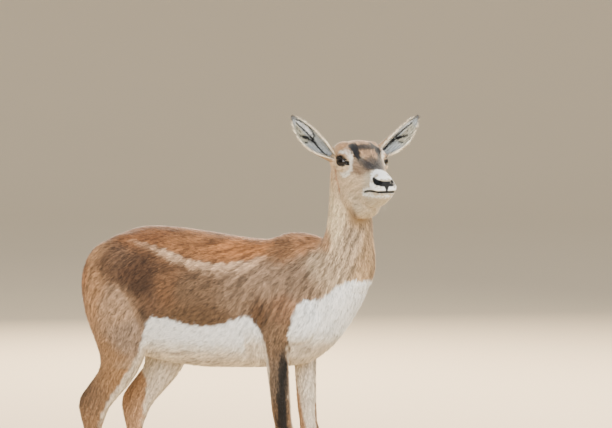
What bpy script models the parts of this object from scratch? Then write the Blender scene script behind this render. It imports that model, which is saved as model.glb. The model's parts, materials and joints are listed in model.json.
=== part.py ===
"""A hornless blackbuck, life size, standing with its head up and turned to its right.

The animal stands on the floor, facing +X, with its left side towards +Y. Heights are above the floor, and
lengths along the body are measured from the withers, which is where X is 0 until the last step centres it.
The body is modelled whole from slices and muscle forms, then parted with thin cuts into its named parts.
"""

import math
from collections import namedtuple

import bmesh
import bpy
import numpy as np
from mathutils import Euler, Matrix, Vector
from mathutils.bvhtree import BVHTree

# Driving sizes of the whole animal, in metres
HEAD_TURN = math.radians(-41.0)
HEAD_LIFT = math.radians(6.0)
EYES_MIDPOINT = Vector((0.186, -0.038, 0.874))
EYE_RADIUS = 0.0195
EYE_SIDE = 0.0415
EYE_FORWARD = 0.002
EYE_UP = -0.002
EYE_TURN = math.radians(30.0)
LID_THICKNESS = 0.0026
LID_HALF_LENGTH = 0.0168
LID_HALF_HEIGHT = 0.0118
GAP = 0.0004
MERGE = 0.00001

# The line of the mouth, swept by degrees each way about a point in the muzzle, and its lips
MOUTH_MIDDLE = 0.112
MOUTH_SWEEP = 122
MOUTH_HEIGHT = -0.0785
MOUTH_DIP = -0.0020
LIP_RADIUS = 0.0034
LIP_SINKS = {"upper": -0.0030, "lower": -0.0046}
LIP_APART = 0.0035
LIP_POINTS = 7
MOUTH_PLACES = 27
MOUTH_TAPER_FROM = 0.25
MOUTH_END_SIZE = 0.35
MOUTH_GROOVE = ((0.006, 0.0010), (0.006, -0.0010), (-0.0042, -0.0003), (-0.0042, 0.0003))
LID_POINTS = 18
LID_POWER = 1.35
LID_REACH = (0.30, 1.9)

# The ears, from their roots, in the head's axes for the left one
EAR_LENGTH = {"right": 0.144, "left": 0.150}
EAR_BEND = 0.006
EAR_SWAY = 0.0085
EAR_ARC_STEPS = 12
EAR_ROOT = Vector((-0.072, 0.041, 0.014))
EAR_AXES = {"right": Vector((0.10, 0.80, 0.72)), "left": Vector((0.20, 0.86, 0.70))}
EAR_FACE = Vector((1.0, 0.25, -0.10))

# The claws, two to a foot, and the cuts that part neck and head
CLAW_LENGTH = 0.052
CLAW_WIDTH = 0.0150
CLAW_SLOPE = 0.021
CLAW_HEEL_LEAN = 0.004
CLAW_HEEL_HEIGHT = 0.020
CLAW_TOE_HEIGHT = 0.035
CLAW_TAPER = 0.10
CLAW_REACHES = np.array([0.0, 0.12, 0.35, 0.60, 0.82, 0.95, 1.0])
CLAW_WIDTHS = np.array([0.62, 0.90, 1.0, 0.96, 0.74, 0.42, 0.10]) * CLAW_WIDTH
CLAW_RISES = (0.0, 0.12, 0.55, 1.0)
CLEFT = 0.0022
DEWCLAW_HEIGHT = 0.058
DEWCLAW_APART = 0.0095
DEWCLAW_SLANT = 0.35
DEWCLAW_RINGS = ((-0.010, 0.0030), (-0.003, 0.0058), (0.006, 0.0052), (0.0125, 0.0022))
DEWCLAW_POINTS = 8
NECK_CUT_POINT = Vector((0.105, 0.0, 0.655))
NECK_CUT_NORMAL = Vector((0.46, 0.0, 0.89))
HEAD_CUT_POINT = Vector((0.137, -0.006, 0.815))
HEAD_CUT_NORMAL = Vector((0.78, 0.0, 0.62))

# Fineness of the worked surface, rounds of smoothing, and the heights between which the head begins
RING_POINTS = 40
BALL_FINENESS = 3
MUSCLE_FINENESS = 4
SLIT_FINENESS = 2
SKIN_VOXEL = 0.0035
SKIN_TRIANGLES_FIRST = 17500
SKIN_TRIANGLES = 6200
ALL_ROUNDS = 10
BODY_ROUNDS = 60
SHRINK, GROW = 0.55, -0.565
HEAD_FROM = 0.755
BODY_TO = 0.71

SIDES = {"right": -1, "left": 1}

# Plain colours of the parts, and how rough those are that shine
ROUGHNESS = {"eye": 0.1, "hoof": 0.55}
DULL = 0.85
COAT_COLOURS = {
    "torso": (0.36, 0.20, 0.10),
    "neck": (0.52, 0.36, 0.21),
    "head": (0.50, 0.34, 0.20),
    "tail": (0.36, 0.20, 0.10),
    "leg": (0.40, 0.25, 0.14),
    "ear": (0.45, 0.38, 0.32),
    "eye": (0.01, 0.008, 0.007),
    "hoof": (0.03, 0.025, 0.022),
}

Slice = namedtuple("Slice", "at low high side width top_power low_power")
Level = namedtuple("Level", "z back front y width power")
Ring = namedtuple("Ring", "z x y fore side turn")
Arc = namedtuple("Arc", "radius spread thick")
Bulge = namedtuple("Bulge", "centre half_sizes turn")
Foot = namedtuple("Foot", "heel y dewclaw")
LegBound = namedtuple("LegBound", "top lean inner front rake back")

# The trunk in slices across the body: place from the withers, lowest and highest point, height of the
# widest part, half width, and how square the slice is above and below it
TRUNK = [
    Slice(-0.577, 0.540, 0.588, 0.565, 0.030, 2.0, 2.0),
    Slice(-0.562, 0.500, 0.618, 0.562, 0.058, 2.0, 2.0),
    Slice(-0.536, 0.450, 0.649, 0.556, 0.078, 1.9, 2.0),
    Slice(-0.495, 0.415, 0.680, 0.558, 0.092, 1.8, 2.0),
    Slice(-0.440, 0.396, 0.700, 0.560, 0.100, 1.8, 2.0),
    Slice(-0.380, 0.386, 0.705, 0.550, 0.102, 1.8, 2.1),
    Slice(-0.320, 0.379, 0.702, 0.540, 0.107, 1.8, 2.2),
    Slice(-0.260, 0.376, 0.697, 0.535, 0.112, 1.8, 2.2),
    Slice(-0.200, 0.377, 0.690, 0.535, 0.113, 1.8, 2.2),
    Slice(-0.140, 0.380, 0.684, 0.540, 0.108, 1.8, 2.1),
    Slice(-0.080, 0.384, 0.684, 0.545, 0.098, 1.8, 2.1),
    Slice(-0.020, 0.390, 0.702, 0.550, 0.086, 1.7, 2.0),
    Slice(0.040, 0.408, 0.697, 0.560, 0.078, 1.8, 2.0),
    Slice(0.090, 0.448, 0.680, 0.575, 0.070, 2.0, 2.0),
    Slice(0.130, 0.500, 0.672, 0.590, 0.060, 2.0, 2.0),
    Slice(0.160, 0.552, 0.662, 0.610, 0.046, 2.0, 2.0),
    Slice(0.174, 0.590, 0.645, 0.618, 0.026, 2.0, 2.0),
]

# The neck in level rings: height, centre, half depth fore and aft, half width, and turn towards the head
NECK = [
    Ring(0.520, 0.030, 0.000, 0.085, 0.062, 0.0),
    Ring(0.580, 0.071, 0.000, 0.105, 0.068, 0.0),
    Ring(0.630, 0.101, 0.000, 0.093, 0.062, 0.0),
    Ring(0.670, 0.1230, -0.001, 0.0710, 0.053, 0.1),
    Ring(0.710, 0.1325, -0.002, 0.0585, 0.0470, 0.3),
    Ring(0.750, 0.1360, -0.004, 0.0565, 0.0455, 0.5),
    Ring(0.800, 0.137, -0.006, 0.054, 0.0445, 0.8),
    Ring(0.840, 0.138, -0.006, 0.054, 0.0445, 1.0),
    Ring(0.875, 0.136, -0.004, 0.042, 0.038, 1.0),
    Ring(0.893, 0.137, -0.004, 0.018, 0.018, 1.0),
]

# The head in slices along its own axis: place from the eyes, lowest and highest point, height of the
# widest part, half width, and squareness above and below it
HEAD = [
    Slice(-0.096, -0.060, -0.004, -0.030, 0.020, 2.0, 2.0),
    Slice(-0.084, -0.095, 0.024, -0.022, 0.037, 2.0, 2.0),
    Slice(-0.064, -0.112, 0.042, -0.010, 0.046, 2.1, 2.0),
    Slice(-0.040, -0.120, 0.048, -0.008, 0.0495, 2.3, 2.0),
    Slice(-0.015, -0.1225, 0.047, -0.012, 0.050, 2.4, 1.9),
    Slice(0.008, -0.1215, 0.041, -0.020, 0.0485, 2.4, 1.9),
    Slice(0.028, -0.118, 0.031, -0.030, 0.0445, 2.3, 1.9),
    Slice(0.046, -0.114, 0.016, -0.040, 0.0395, 2.3, 2.0),
    Slice(0.064, -0.111, -0.002, -0.052, 0.0350, 2.4, 2.1),
    Slice(0.084, -0.110, -0.0165, -0.062, 0.0315, 2.4, 2.2),
    Slice(0.104, -0.107, -0.0260, -0.066, 0.0292, 2.4, 2.2),
    Slice(0.122, -0.102, -0.0335, -0.066, 0.0278, 2.3, 2.2),
    Slice(0.136, -0.097, -0.0395, -0.066, 0.0258, 2.2, 2.2),
    Slice(0.147, -0.090, -0.0465, -0.066, 0.0210, 2.0, 2.0),
    Slice(0.1545, -0.081, -0.0560, -0.066, 0.0125, 2.0, 2.0),
]

# A foreleg and a hind leg in level slices: height, rearmost and foremost point, distance of the slice's
# centre from the middle plane, half width, and squareness
FORELEG = [
    Level(0.590, -0.045, 0.055, 0.052, 0.026, 2.0),
    Level(0.540, -0.064, 0.058, 0.060, 0.032, 2.0),
    Level(0.500, -0.068, 0.040, 0.065, 0.033, 2.0),
    Level(0.465, -0.062, 0.014, 0.065, 0.029, 2.0),
    Level(0.430, -0.056, 0.003, 0.062, 0.0245, 2.0),
    Level(0.390, -0.052, 0.001, 0.059, 0.0220, 2.0),
    Level(0.340, -0.046, 0.002, 0.056, 0.0202, 2.0),
    Level(0.290, -0.041, 0.004, 0.054, 0.0190, 2.1),
    Level(0.258, -0.034, 0.006, 0.0525, 0.0188, 2.3),
    Level(0.235, -0.031, 0.011, 0.0520, 0.0200, 2.5),
    Level(0.212, -0.029, 0.008, 0.0515, 0.0180, 2.4),
    Level(0.185, -0.024, 0.003, 0.0510, 0.0140, 2.2),
    Level(0.140, -0.0225, 0.0015, 0.0505, 0.0125, 2.2),
    Level(0.100, -0.0235, 0.0015, 0.0500, 0.0125, 2.2),
    Level(0.082, -0.028, 0.003, 0.0500, 0.0150, 2.3),
    Level(0.066, -0.029, 0.008, 0.0500, 0.0165, 2.4),
    Level(0.050, -0.021, 0.010, 0.0500, 0.0148, 2.3),
    Level(0.036, -0.013, 0.018, 0.0500, 0.0158, 2.3),
    Level(0.018, -0.008, 0.021, 0.0500, 0.0160, 2.3),
]
HIND_LEG = [
    Level(0.620, -0.528, -0.430, 0.055, 0.034, 2.0),
    Level(0.570, -0.556, -0.395, 0.063, 0.042, 2.0),
    Level(0.520, -0.554, -0.375, 0.067, 0.044, 2.0),
    Level(0.475, -0.541, -0.370, 0.067, 0.041, 2.0),
    Level(0.435, -0.525, -0.378, 0.065, 0.036, 2.0),
    Level(0.395, -0.512, -0.393, 0.063, 0.031, 2.0),
    Level(0.360, -0.517, -0.413, 0.060, 0.026, 2.0),
    Level(0.325, -0.545, -0.440, 0.058, 0.0215, 2.0),
    Level(0.295, -0.570, -0.470, 0.057, 0.0185, 2.1),
    Level(0.270, -0.578, -0.494, 0.056, 0.0185, 2.2),
    Level(0.245, -0.573, -0.509, 0.055, 0.0190, 2.3),
    Level(0.220, -0.566, -0.520, 0.054, 0.0165, 2.3),
    Level(0.190, -0.559, -0.527, 0.053, 0.0140, 2.2),
    Level(0.140, -0.555, -0.529, 0.052, 0.0125, 2.2),
    Level(0.100, -0.555, -0.528, 0.052, 0.0125, 2.2),
    Level(0.082, -0.560, -0.526, 0.052, 0.0150, 2.3),
    Level(0.066, -0.560, -0.521, 0.052, 0.0165, 2.4),
    Level(0.050, -0.552, -0.519, 0.052, 0.0148, 2.3),
    Level(0.036, -0.543, -0.511, 0.052, 0.0158, 2.3),
    Level(0.018, -0.538, -0.508, 0.052, 0.0160, 2.3),
]
LEFT_FORELEG_SHIFT = 0.006
LEFT_HIND_LEG_SHIFT = 0.050
FORELEG_SHIFTS_BETWEEN = (0.50, 0.38)
HIND_LEG_SHIFTS_BETWEEN = (0.56, 0.35)

# How each kind of leg stands on its claws, and how high and how far in the leg runs within the body
FEET = {"foreleg": Foot(-0.012, 0.050, -0.0245), "hind_leg": Foot(-0.542, 0.052, -0.5545)}
LEG_BOUNDS = {
    "foreleg": LegBound(0.530, 30, 0.024, 0.062, 0.0, -0.076),
    "hind_leg": LegBound(0.545, 25, 0.022, -0.366, 0.16, -0.70),
}

# Swellings of muscle and bone on the right and the left: centre, half sizes, and turns in degrees about X, Y
# and Z. The first ones are in the animal's axes, the next ones in the head's; Y and the turn about X change
# their sign from side to side.
BODY_BULGES = [
    Bulge((0.012, 0.041, 0.602), (0.062, 0.026, 0.088), (8, 14, 0)),
    Bulge((-0.004, 0.014, 0.6760), (0.052, 0.016, 0.0220), (0, 0, 0)),
    Bulge((0.014, 0.058, 0.520), (0.078, 0.027, 0.072), (0, 0, 0)),
    Bulge((-0.467, 0.060, 0.555), (0.097, 0.042, 0.118), (0, -12, 0)),
    Bulge((-0.440, 0.036, 0.644), (0.080, 0.036, 0.044), (0, 0, 0)),
]
HEAD_BULGES = [
    Bulge((-0.006, 0.032, 0.010), (0.040, 0.020, 0.022), (0, 0, 0)),
    Bulge((0.001, 0.0430, -0.002), (0.026, 0.0180, 0.0225), (0, 0, 0)),
    Bulge((-0.016, 0.024, -0.058), (0.062, 0.0215, 0.052), (0, 0, 0)),
    Bulge((-0.057, 0.036, 0.005), (0.024, 0.0185, 0.026), (0, 0, 0)),
    Bulge((-0.036, 0.030, 0.025), (0.034, 0.022, 0.021), (0, 0, 0)),
    Bulge((0.136, 0.013, -0.069), (0.020, 0.0150, 0.0150), (0, 0, 0)),
    Bulge((0.014, 0.006, -0.1005), (0.054, 0.025, 0.0295), (0, -14, 0)),
]
NOSTRIL = Bulge((0.1500, 0.0150, -0.0560), (0.0088, 0.0050, 0.0034), (0, 22, -34))
TEAR_GLAND = Bulge((0.0345, 0.0435, -0.0200), (0.0085, 0.0026, 0.0019), (0, 38, -14))

# The tail's path from root to tip in the middle plane: place, height, half width and half thickness
TAIL = [
    (-0.536, 0.626, 0.016, 0.014),
    (-0.561, 0.611, 0.015, 0.012),
    (-0.579, 0.593, 0.014, 0.010),
    (-0.588, 0.574, 0.014, 0.009),
    (-0.590, 0.555, 0.014, 0.0085),
    (-0.586, 0.527, 0.013, 0.008),
    (-0.579, 0.500, 0.009, 0.006),
    (-0.575, 0.484, 0.004, 0.003),
]
TAIL_POINTS = 20

# An ear's arcs from root to tip: radius, degrees each way from its back, and thickness
EAR_ARCS = [
    Arc(0.0150, 168, 0.0040),
    Arc(0.0168, 146, 0.0034),
    Arc(0.0194, 114, 0.0030),
    Arc(0.0218, 97, 0.0027),
    Arc(0.0210, 84, 0.0024),
    Arc(0.0152, 74, 0.0021),
    Arc(0.0040, 66, 0.0018),
]


def head_frame():
    """The matrix from the head's own axes (forward, left, up, from between the eyes) to the animal's."""
    turn = Matrix.Rotation(HEAD_TURN, 4, "Z") @ Matrix.Rotation(-HEAD_LIFT, 4, "Y")
    return Matrix.Translation(EYES_MIDPOINT) @ turn


def between(rows, count):
    """Rows of sizes drawn through the given ones as a smooth curve, count steps to each pair."""
    table = np.array(rows, float)
    ends = np.vstack([2 * table[0] - table[1], table, 2 * table[-1] - table[-2]])
    found = []
    for i in range(1, len(ends) - 2):
        before, start, stop, after = ends[i - 1 : i + 3]
        for t in np.arange(count) / count:
            found.append(
                0.5
                * (
                    2 * start
                    + (stop - before) * t
                    + (2 * before - 5 * start + 4 * stop - after) * t**2
                    + (3 * start - before - 3 * stop + after) * t**3
                )
            )
    return np.array(found + [table[-1]])


def oval(count, half_width, above, below, top_power=2.0, low_power=2.0):
    """Points round an oval slice: its left and right, and its up and down, about its widest place."""
    turn = np.arange(count) * 2 * math.pi / count
    c, s = np.cos(turn), np.sin(turn)
    power = np.where(s >= 0, top_power, low_power)
    across = half_width * np.sign(c) * np.abs(c) ** (2 / power)
    reach = np.where(s >= 0, above, below)
    return across, reach * np.sign(s) * np.abs(s) ** (2 / power)


def skinned(name, rings):
    """A closed mesh object from rings of equal count, capped at both ends, with its faces outwards."""
    rings = np.asarray(rings)
    rows, count = rings.shape[:2]
    mesh = bpy.data.meshes.new(name)
    faces = [tuple(range(count))[::-1], tuple(range((rows - 1) * count, rows * count))]
    for r in range(rows - 1):
        for k in range(count):
            a, b = r * count + k, r * count + (k + 1) % count
            faces.append((a, b, b + count, a + count))
    mesh.from_pydata(rings.reshape(-1, 3).tolist(), [], faces)
    shape = bmesh.new()
    shape.from_mesh(mesh)
    bmesh.ops.recalc_face_normals(shape, faces=shape.faces)
    shape.to_mesh(mesh)
    shape.free()
    body = bpy.data.objects.new(name, mesh)
    bpy.context.scene.collection.objects.link(body)
    return body


def trunk_form():
    """The trunk, from its slices."""
    rings = []
    for at, low, high, side, width, top_power, low_power in between(TRUNK, 3):
        across, up = oval(RING_POINTS, width, high - side, side - low, top_power, low_power)
        rings.append(np.stack([np.full_like(up, at), across, side + up], axis=1))
    return skinned("trunk_form", rings)


def neck_form():
    """The neck, from level rings that turn with the head."""
    rings = []
    for z, x, y, fore, side, turn in between(NECK, 3):
        left, ahead = oval(RING_POINTS, side, fore, fore)
        c, s = math.cos(turn * HEAD_TURN), math.sin(turn * HEAD_TURN)
        rings.append(
            np.stack([x + c * ahead - s * left, y + s * ahead + c * left, np.full_like(left, z)], axis=1)
        )
    return skinned("neck_form", rings)


def head_form():
    """The head, from its slices, set in the head's place."""
    rings = []
    for at, low, high, side, width, top_power, low_power in between(HEAD, 3):
        across, up = oval(RING_POINTS, width, high - side, side - low, top_power, low_power)
        rings.append(np.stack([np.full_like(up, at), across, side + up], axis=1))
    form = skinned("head_form", rings)
    form.data.transform(head_frame())
    return form


def leg_form(levels, side, shift, shift_from, shift_to):
    """A leg from level slices, moved forwards by shift below shift_to and not at all above shift_from."""
    rings = []
    for z, back, front, y, width, power in between(levels, 3):
        share = min(1.0, max(0.0, (shift_from - z) / (shift_from - shift_to)))
        x = (back + front) / 2 + shift * share * share * (3 - 2 * share)
        across, ahead = oval(RING_POINTS, width, (front - back) / 2, (front - back) / 2, power, power)
        rings.append(np.stack([x + ahead, side * y + across, np.full_like(across, z)], axis=1))
    return skinned("leg_form", rings)


def bulge_form(bulge, side, fineness):
    """An egg shape of given centre and half sizes on one side, in the axes that its numbers are in."""
    shape = bmesh.new()
    bmesh.ops.create_icosphere(shape, subdivisions=fineness, radius=1.0)
    x, y, z = bulge.centre
    turn = Euler([math.radians(angle) for angle in bulge.turn], "XYZ")
    turn.x *= side
    turn.z *= side
    spin = turn.to_matrix().to_4x4()
    return shape, Matrix.Translation((x, side * y, z)) @ spin @ Matrix.Diagonal((*bulge.half_sizes, 1.0))


def muscle_forms():
    """The swellings of body and head on both sides."""
    forms = []
    for side in SIDES.values():
        for frame, bulges in ((Matrix.Identity(4), BODY_BULGES), (head_frame(), HEAD_BULGES)):
            for bulge in bulges:
                shape, place = bulge_form(bulge, side, MUSCLE_FINENESS)
                forms.append(from_bmesh("muscle", shape, frame @ place))
    return forms


def slit(bulge, side):
    """A thin egg shape that hollows out a nostril or the gland before an eye."""
    shape, place = bulge_form(bulge, side, SLIT_FINENESS)
    return from_bmesh("slit", shape, head_frame() @ place)


def tail_form():
    """The tail, a flat taper that leaves the croup and hangs against the rump."""
    table = between(TAIL, 3)
    path = table[:, :2]
    along = np.gradient(path, axis=0)
    along /= np.linalg.norm(along, axis=1)[:, None]
    rings = []
    for (x, z, width, thick), (dx, dz) in zip(table, along):
        across, out = oval(TAIL_POINTS, width, thick, thick)
        rings.append(np.stack([x - dz * out, across, z + dx * out], axis=1))
    return skinned("tail_form", rings)


def ear_shell(word, side):
    """The cup of one ear: arcs that start as a tube at the root, open, widen, and narrow to the tip.

    Its middle bows forward to the tip, and out and down halfway along.
    """
    table = between(EAR_ARCS, 2)
    rows = len(table)
    points = []
    for (radius, spread, thick), t in zip(table, np.linspace(0.0, 1.0, rows)):
        sweep = np.linspace(-1.0, 1.0, EAR_ARC_STEPS + 1) * math.radians(spread)
        sway = side * EAR_SWAY * math.sin(math.pi * t)
        for reach, order in ((radius, 1), (radius - thick, -1)):
            along = np.full_like(sweep, t * EAR_LENGTH[word])
            deep = radius - reach * np.cos(sweep) + EAR_BEND * t * t
            across = reach * np.sin(sweep) + sway
            points.append(np.stack([deep, across, along], axis=1)[::order])
    edge = EAR_ARC_STEPS
    ring = 2 * (edge + 1)
    verts = np.concatenate(points)
    faces = []
    for r in range(rows - 1):
        for k in range(ring):
            a, b = r * ring + k, r * ring + (k + 1) % ring
            c, d = b + ring, a + ring
            if k <= edge:
                faces += [(a, b, c), (a, c, d)]
            else:
                faces += [(a, b, d), (b, c, d)]
    for k in range(edge):
        m = ring - 1 - k
        faces += [(k + 1, k, m), (k + 1, m, m - 1)]
        last = (rows - 1) * ring
        faces += [(last + k, last + k + 1, last + m), (last + k + 1, last + m - 1, last + m)]
    mesh = bpy.data.meshes.new("ear_" + word)
    mesh.from_pydata(verts.tolist(), [], faces)
    shape = bmesh.new()
    shape.from_mesh(mesh)
    bmesh.ops.recalc_face_normals(shape, faces=shape.faces)
    shape.to_mesh(mesh)
    shape.free()
    ear = bpy.data.objects.new("ear_" + word, mesh)
    bpy.context.scene.collection.objects.link(ear)
    axis = EAR_AXES[word]
    up = Vector((axis.x, side * axis.y, axis.z)).normalized()
    front = Vector((EAR_FACE.x, side * EAR_FACE.y, EAR_FACE.z))
    front = (front - up * front.dot(up)).normalized()
    across = up.cross(front)
    place = Matrix((front, across, up)).transposed().to_4x4()
    root = Vector((EAR_ROOT.x, side * EAR_ROOT.y, EAR_ROOT.z))
    ear.data.transform(head_frame() @ Matrix.Translation(root) @ place)
    return ear


def eye_frame(side):
    """The matrix from an eye's own axes, +Z out along its gaze and +X forward, to the animal's."""
    gaze = Vector((math.sin(EYE_TURN), side * math.cos(EYE_TURN), 0.03)).normalized()
    front = (Vector((1.0, 0.0, -0.18)) - gaze * Vector((1.0, 0.0, -0.18)).dot(gaze)).normalized()
    across = gaze.cross(front)
    place = Matrix((front, across, gaze)).transposed().to_4x4()
    centre = Vector((EYE_FORWARD, side * EYE_SIDE, EYE_UP))
    return head_frame() @ Matrix.Translation(centre) @ place


def ball(name, radius, side):
    """A ball about the middle of one eye."""
    shape = bmesh.new()
    bmesh.ops.create_icosphere(shape, subdivisions=BALL_FINENESS, radius=radius)
    return from_bmesh(name, shape, eye_frame(side))


def from_bmesh(name, shape, place):
    """An object from a worked shape, set in its place; a mirroring place turns its faces back outwards."""
    bmesh.ops.transform(shape, matrix=place, verts=shape.verts)
    if place.determinant() < 0:
        bmesh.ops.reverse_faces(shape, faces=shape.faces)
    mesh = bpy.data.meshes.new(name)
    shape.to_mesh(mesh)
    shape.free()
    body = bpy.data.objects.new(name, mesh)
    bpy.context.scene.collection.objects.link(body)
    return body


def lid_opening(side):
    """A prism with the almond outline of the opening between the lids, from inside the eye outwards."""
    turn = np.arange(LID_POINTS) * 2 * math.pi / LID_POINTS
    ahead = LID_HALF_LENGTH * np.cos(turn)
    height = LID_HALF_HEIGHT * np.sign(np.sin(turn)) * np.abs(np.sin(turn)) ** LID_POWER
    rings = []
    for reach in LID_REACH:
        depth = np.full_like(ahead, reach * EYE_RADIUS)
        rings.append(np.stack([ahead, height * -side, depth], axis=1))
    opening = skinned("lid_opening", rings)
    opening.data.transform(eye_frame(side))
    return opening


def mouth_path(head):
    """Places along the line of the mouth, from corner to corner round the front, with the way out there."""
    tree = BVHTree.FromPolygons(
        [v.co for v in head.data.vertices], [tuple(f.vertices) for f in head.data.polygons]
    )
    frame = head_frame()
    path = []
    for angle in np.radians(np.linspace(-MOUTH_SWEEP, MOUTH_SWEEP, MOUTH_PLACES)):
        out = Vector((math.cos(angle), math.sin(angle), 0.0))
        middle = Vector((MOUTH_MIDDLE, 0.0, MOUTH_HEIGHT - MOUTH_DIP * math.sin(angle) ** 2))
        far = frame @ (middle + out * 0.12)
        hit = tree.ray_cast(far, (frame.to_3x3() @ -out).normalized())[0]
        path.append((frame.inverted() @ hit, out))
    return path


def along_mouth(name, path, outline):
    """A bar along the mouth from an outline of (out, up) pairs, drawn in towards the corners."""
    rings = []
    for i, (place, out) in enumerate(path):
        near_end = min(i, len(path) - 1 - i) / (len(path) - 1)
        size = min(1.0, MOUTH_END_SIZE + (1 - MOUTH_END_SIZE) * near_end / MOUTH_TAPER_FROM)
        rings.append([place + out * (o * size) + Vector((0, 0, u * size)) for o, u in outline])
    bar = skinned(name, [[tuple(p) for p in ring] for ring in rings])
    bar.data.transform(head_frame())
    return bar


def lip(path, word):
    """The rounded edge of the upper or the lower lip."""
    turn = np.arange(LIP_POINTS) * 2 * math.pi / LIP_POINTS
    rise = LIP_APART if word == "upper" else -LIP_APART
    sink = LIP_SINKS[word]
    outline = [(sink + LIP_RADIUS * math.cos(a), rise + LIP_RADIUS * math.sin(a)) for a in turn]
    return along_mouth("lip", path, outline)


def claw(name, leg_name, side, outer, shift):
    """One of a foot's two claws: a flat sole, a sloping front wall and a straight wall at the cleft."""
    foot = FEET[leg_name.rsplit("_", 1)[0]]
    rings = []
    for t in CLAW_RISES:
        toe = CLAW_LENGTH - t * CLAW_SLOPE
        heel = t * CLAW_HEEL_LEAN
        along = heel + CLAW_REACHES * (toe - heel)
        top = CLAW_HEEL_HEIGHT + (CLAW_TOE_HEIGHT - CLAW_HEEL_HEIGHT) * CLAW_REACHES
        width = CLAW_WIDTHS * (1.0 - CLAW_TAPER * t)
        wall = np.stack([along, CLEFT / 2 + width, top * t], axis=1)
        inner = np.stack([along, np.full_like(along, CLEFT / 2), top * t], axis=1)[::-1]
        rings.append(np.concatenate([wall, inner]))
    points = np.array(rings)
    points[..., 0] += foot.heel + shift
    points[..., 1] *= side if outer else -side
    points[..., 1] += side * foot.y
    return skinned(name, points)


def dewclaw(side, leg_name, outer, shift):
    """A small blunt claw at the back of the fetlock, its root sunk in the leg."""
    foot = FEET[leg_name.rsplit("_", 1)[0]]
    apart = DEWCLAW_APART if outer else -DEWCLAW_APART
    middle = np.array([foot.dewclaw + shift, side * (foot.y + apart), DEWCLAW_HEIGHT])
    rings = []
    for down, radius in DEWCLAW_RINGS:
        across, ahead = oval(DEWCLAW_POINTS, radius, radius, radius)
        back = ahead - DEWCLAW_SLANT * down
        rings.append(middle + np.stack([back, across, np.full_like(ahead, -down)], axis=1))
    return skinned("dewclaw", rings)


def settled(body):
    """Turns a body's modifiers into its mesh."""
    graph = bpy.context.evaluated_depsgraph_get()
    mesh = bpy.data.meshes.new_from_object(body.evaluated_get(graph))
    old = body.data
    body.modifiers.clear()
    body.data = mesh
    bpy.data.meshes.remove(old)
    return body


def drop(*bodies):
    """Takes objects out of the scene."""
    for body in bodies:
        bpy.data.objects.remove(body)


def largest_only(body):
    """Keeps only the closed surface that holds the most, in triangles, without slivers of no width."""
    shape = bmesh.new()
    shape.from_mesh(body.data)
    bmesh.ops.dissolve_degenerate(shape, dist=MERGE, edges=shape.edges)
    bmesh.ops.triangulate(shape, faces=shape.faces)
    shape.faces.ensure_lookup_table()
    seen = set()
    islands = []
    for face in shape.faces:
        if face in seen:
            continue
        island, queue = [], [face]
        seen.add(face)
        while queue:
            now = queue.pop()
            island.append(now)
            for edge in now.edges:
                for other in edge.link_faces:
                    if other not in seen:
                        seen.add(other)
                        queue.append(other)
        islands.append(island)
    sizes = [
        sum(f.verts[0].co.dot(f.verts[1].co.cross(f.verts[2].co)) for f in island) / 6 for island in islands
    ]
    keep = sizes.index(max(sizes))
    for i, island in enumerate(islands):
        if i != keep:
            bmesh.ops.delete(shape, geom=island, context="FACES")
    bmesh.ops.delete(shape, geom=[v for v in shape.verts if not v.link_faces], context="VERTS")
    shape.to_mesh(body.data)
    shape.free()
    return body


def fused(body, others):
    """One Boolean union of a body with the others, which are then removed.

    The manifold solver joins many closed forms at once in a fraction of the time that the exact one needs.
    """
    group = bpy.data.collections.new("to_fuse")
    bpy.context.scene.collection.children.link(group)
    for other in others:
        bpy.context.scene.collection.objects.unlink(other)
        group.objects.link(other)
    join = body.modifiers.new("fuse", "BOOLEAN")
    join.operation = "UNION"
    join.operand_type = "COLLECTION"
    join.collection = group
    join.solver = "MANIFOLD"
    settled(body)
    drop(*others)
    bpy.data.collections.remove(group)
    return largest_only(body)


def cut(body, tool, operation="DIFFERENCE"):
    """Cuts a body with a tool, which is then removed."""
    knife = body.modifiers.new("cut", "BOOLEAN")
    knife.operation = operation
    knife.solver = "EXACT"
    knife.object = tool
    settled(body)
    drop(tool)
    return largest_only(body)


def evened(body, rounds, share=None):
    """Smooths a body without shrinking it: each inward step is followed by a slightly longer outward one.

    share, where given, takes the points and says how far each of them may follow.
    """
    mesh = body.data
    count = len(mesh.vertices)
    points = np.empty(count * 3)
    mesh.vertices.foreach_get("co", points)
    points = points.reshape(-1, 3)
    ends = np.empty(len(mesh.edges) * 2, dtype=np.int64)
    mesh.edges.foreach_get("vertices", ends)
    ends = ends.reshape(-1, 2)
    to, start = ends.T.reshape(2, -1)
    links = np.bincount(np.concatenate([to, start]), minlength=count)[:, None]
    follow = 1.0 if share is None else share(points)[:, None]
    for _ in range(rounds):
        for step in (SHRINK, GROW):
            total = np.zeros_like(points)
            for axis in range(3):
                total[:, axis] = np.bincount(to, points[start, axis], count)
                total[:, axis] += np.bincount(start, points[to, axis], count)
            points += follow * step * (total / links - points)
    mesh.vertices.foreach_set("co", points.ravel())
    mesh.update()
    return body


def lightened(body, share, kept=None):
    """Takes triangles out of a body down to a share of them, first outside the kept vertices."""
    if kept is not None:
        group = body.vertex_groups.new(name="may_lighten")
        group.add([v.index for v in body.data.vertices if not kept(v.co)], 1.0, "REPLACE")
    lighten = body.modifiers.new("lighten", "DECIMATE")
    lighten.ratio = share
    lighten.use_collapse_triangulate = True
    if kept is not None:
        lighten.vertex_group = "may_lighten"
        lighten.vertex_group_factor = 1.0
    settled(body)
    body.vertex_groups.clear()
    return body


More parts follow.
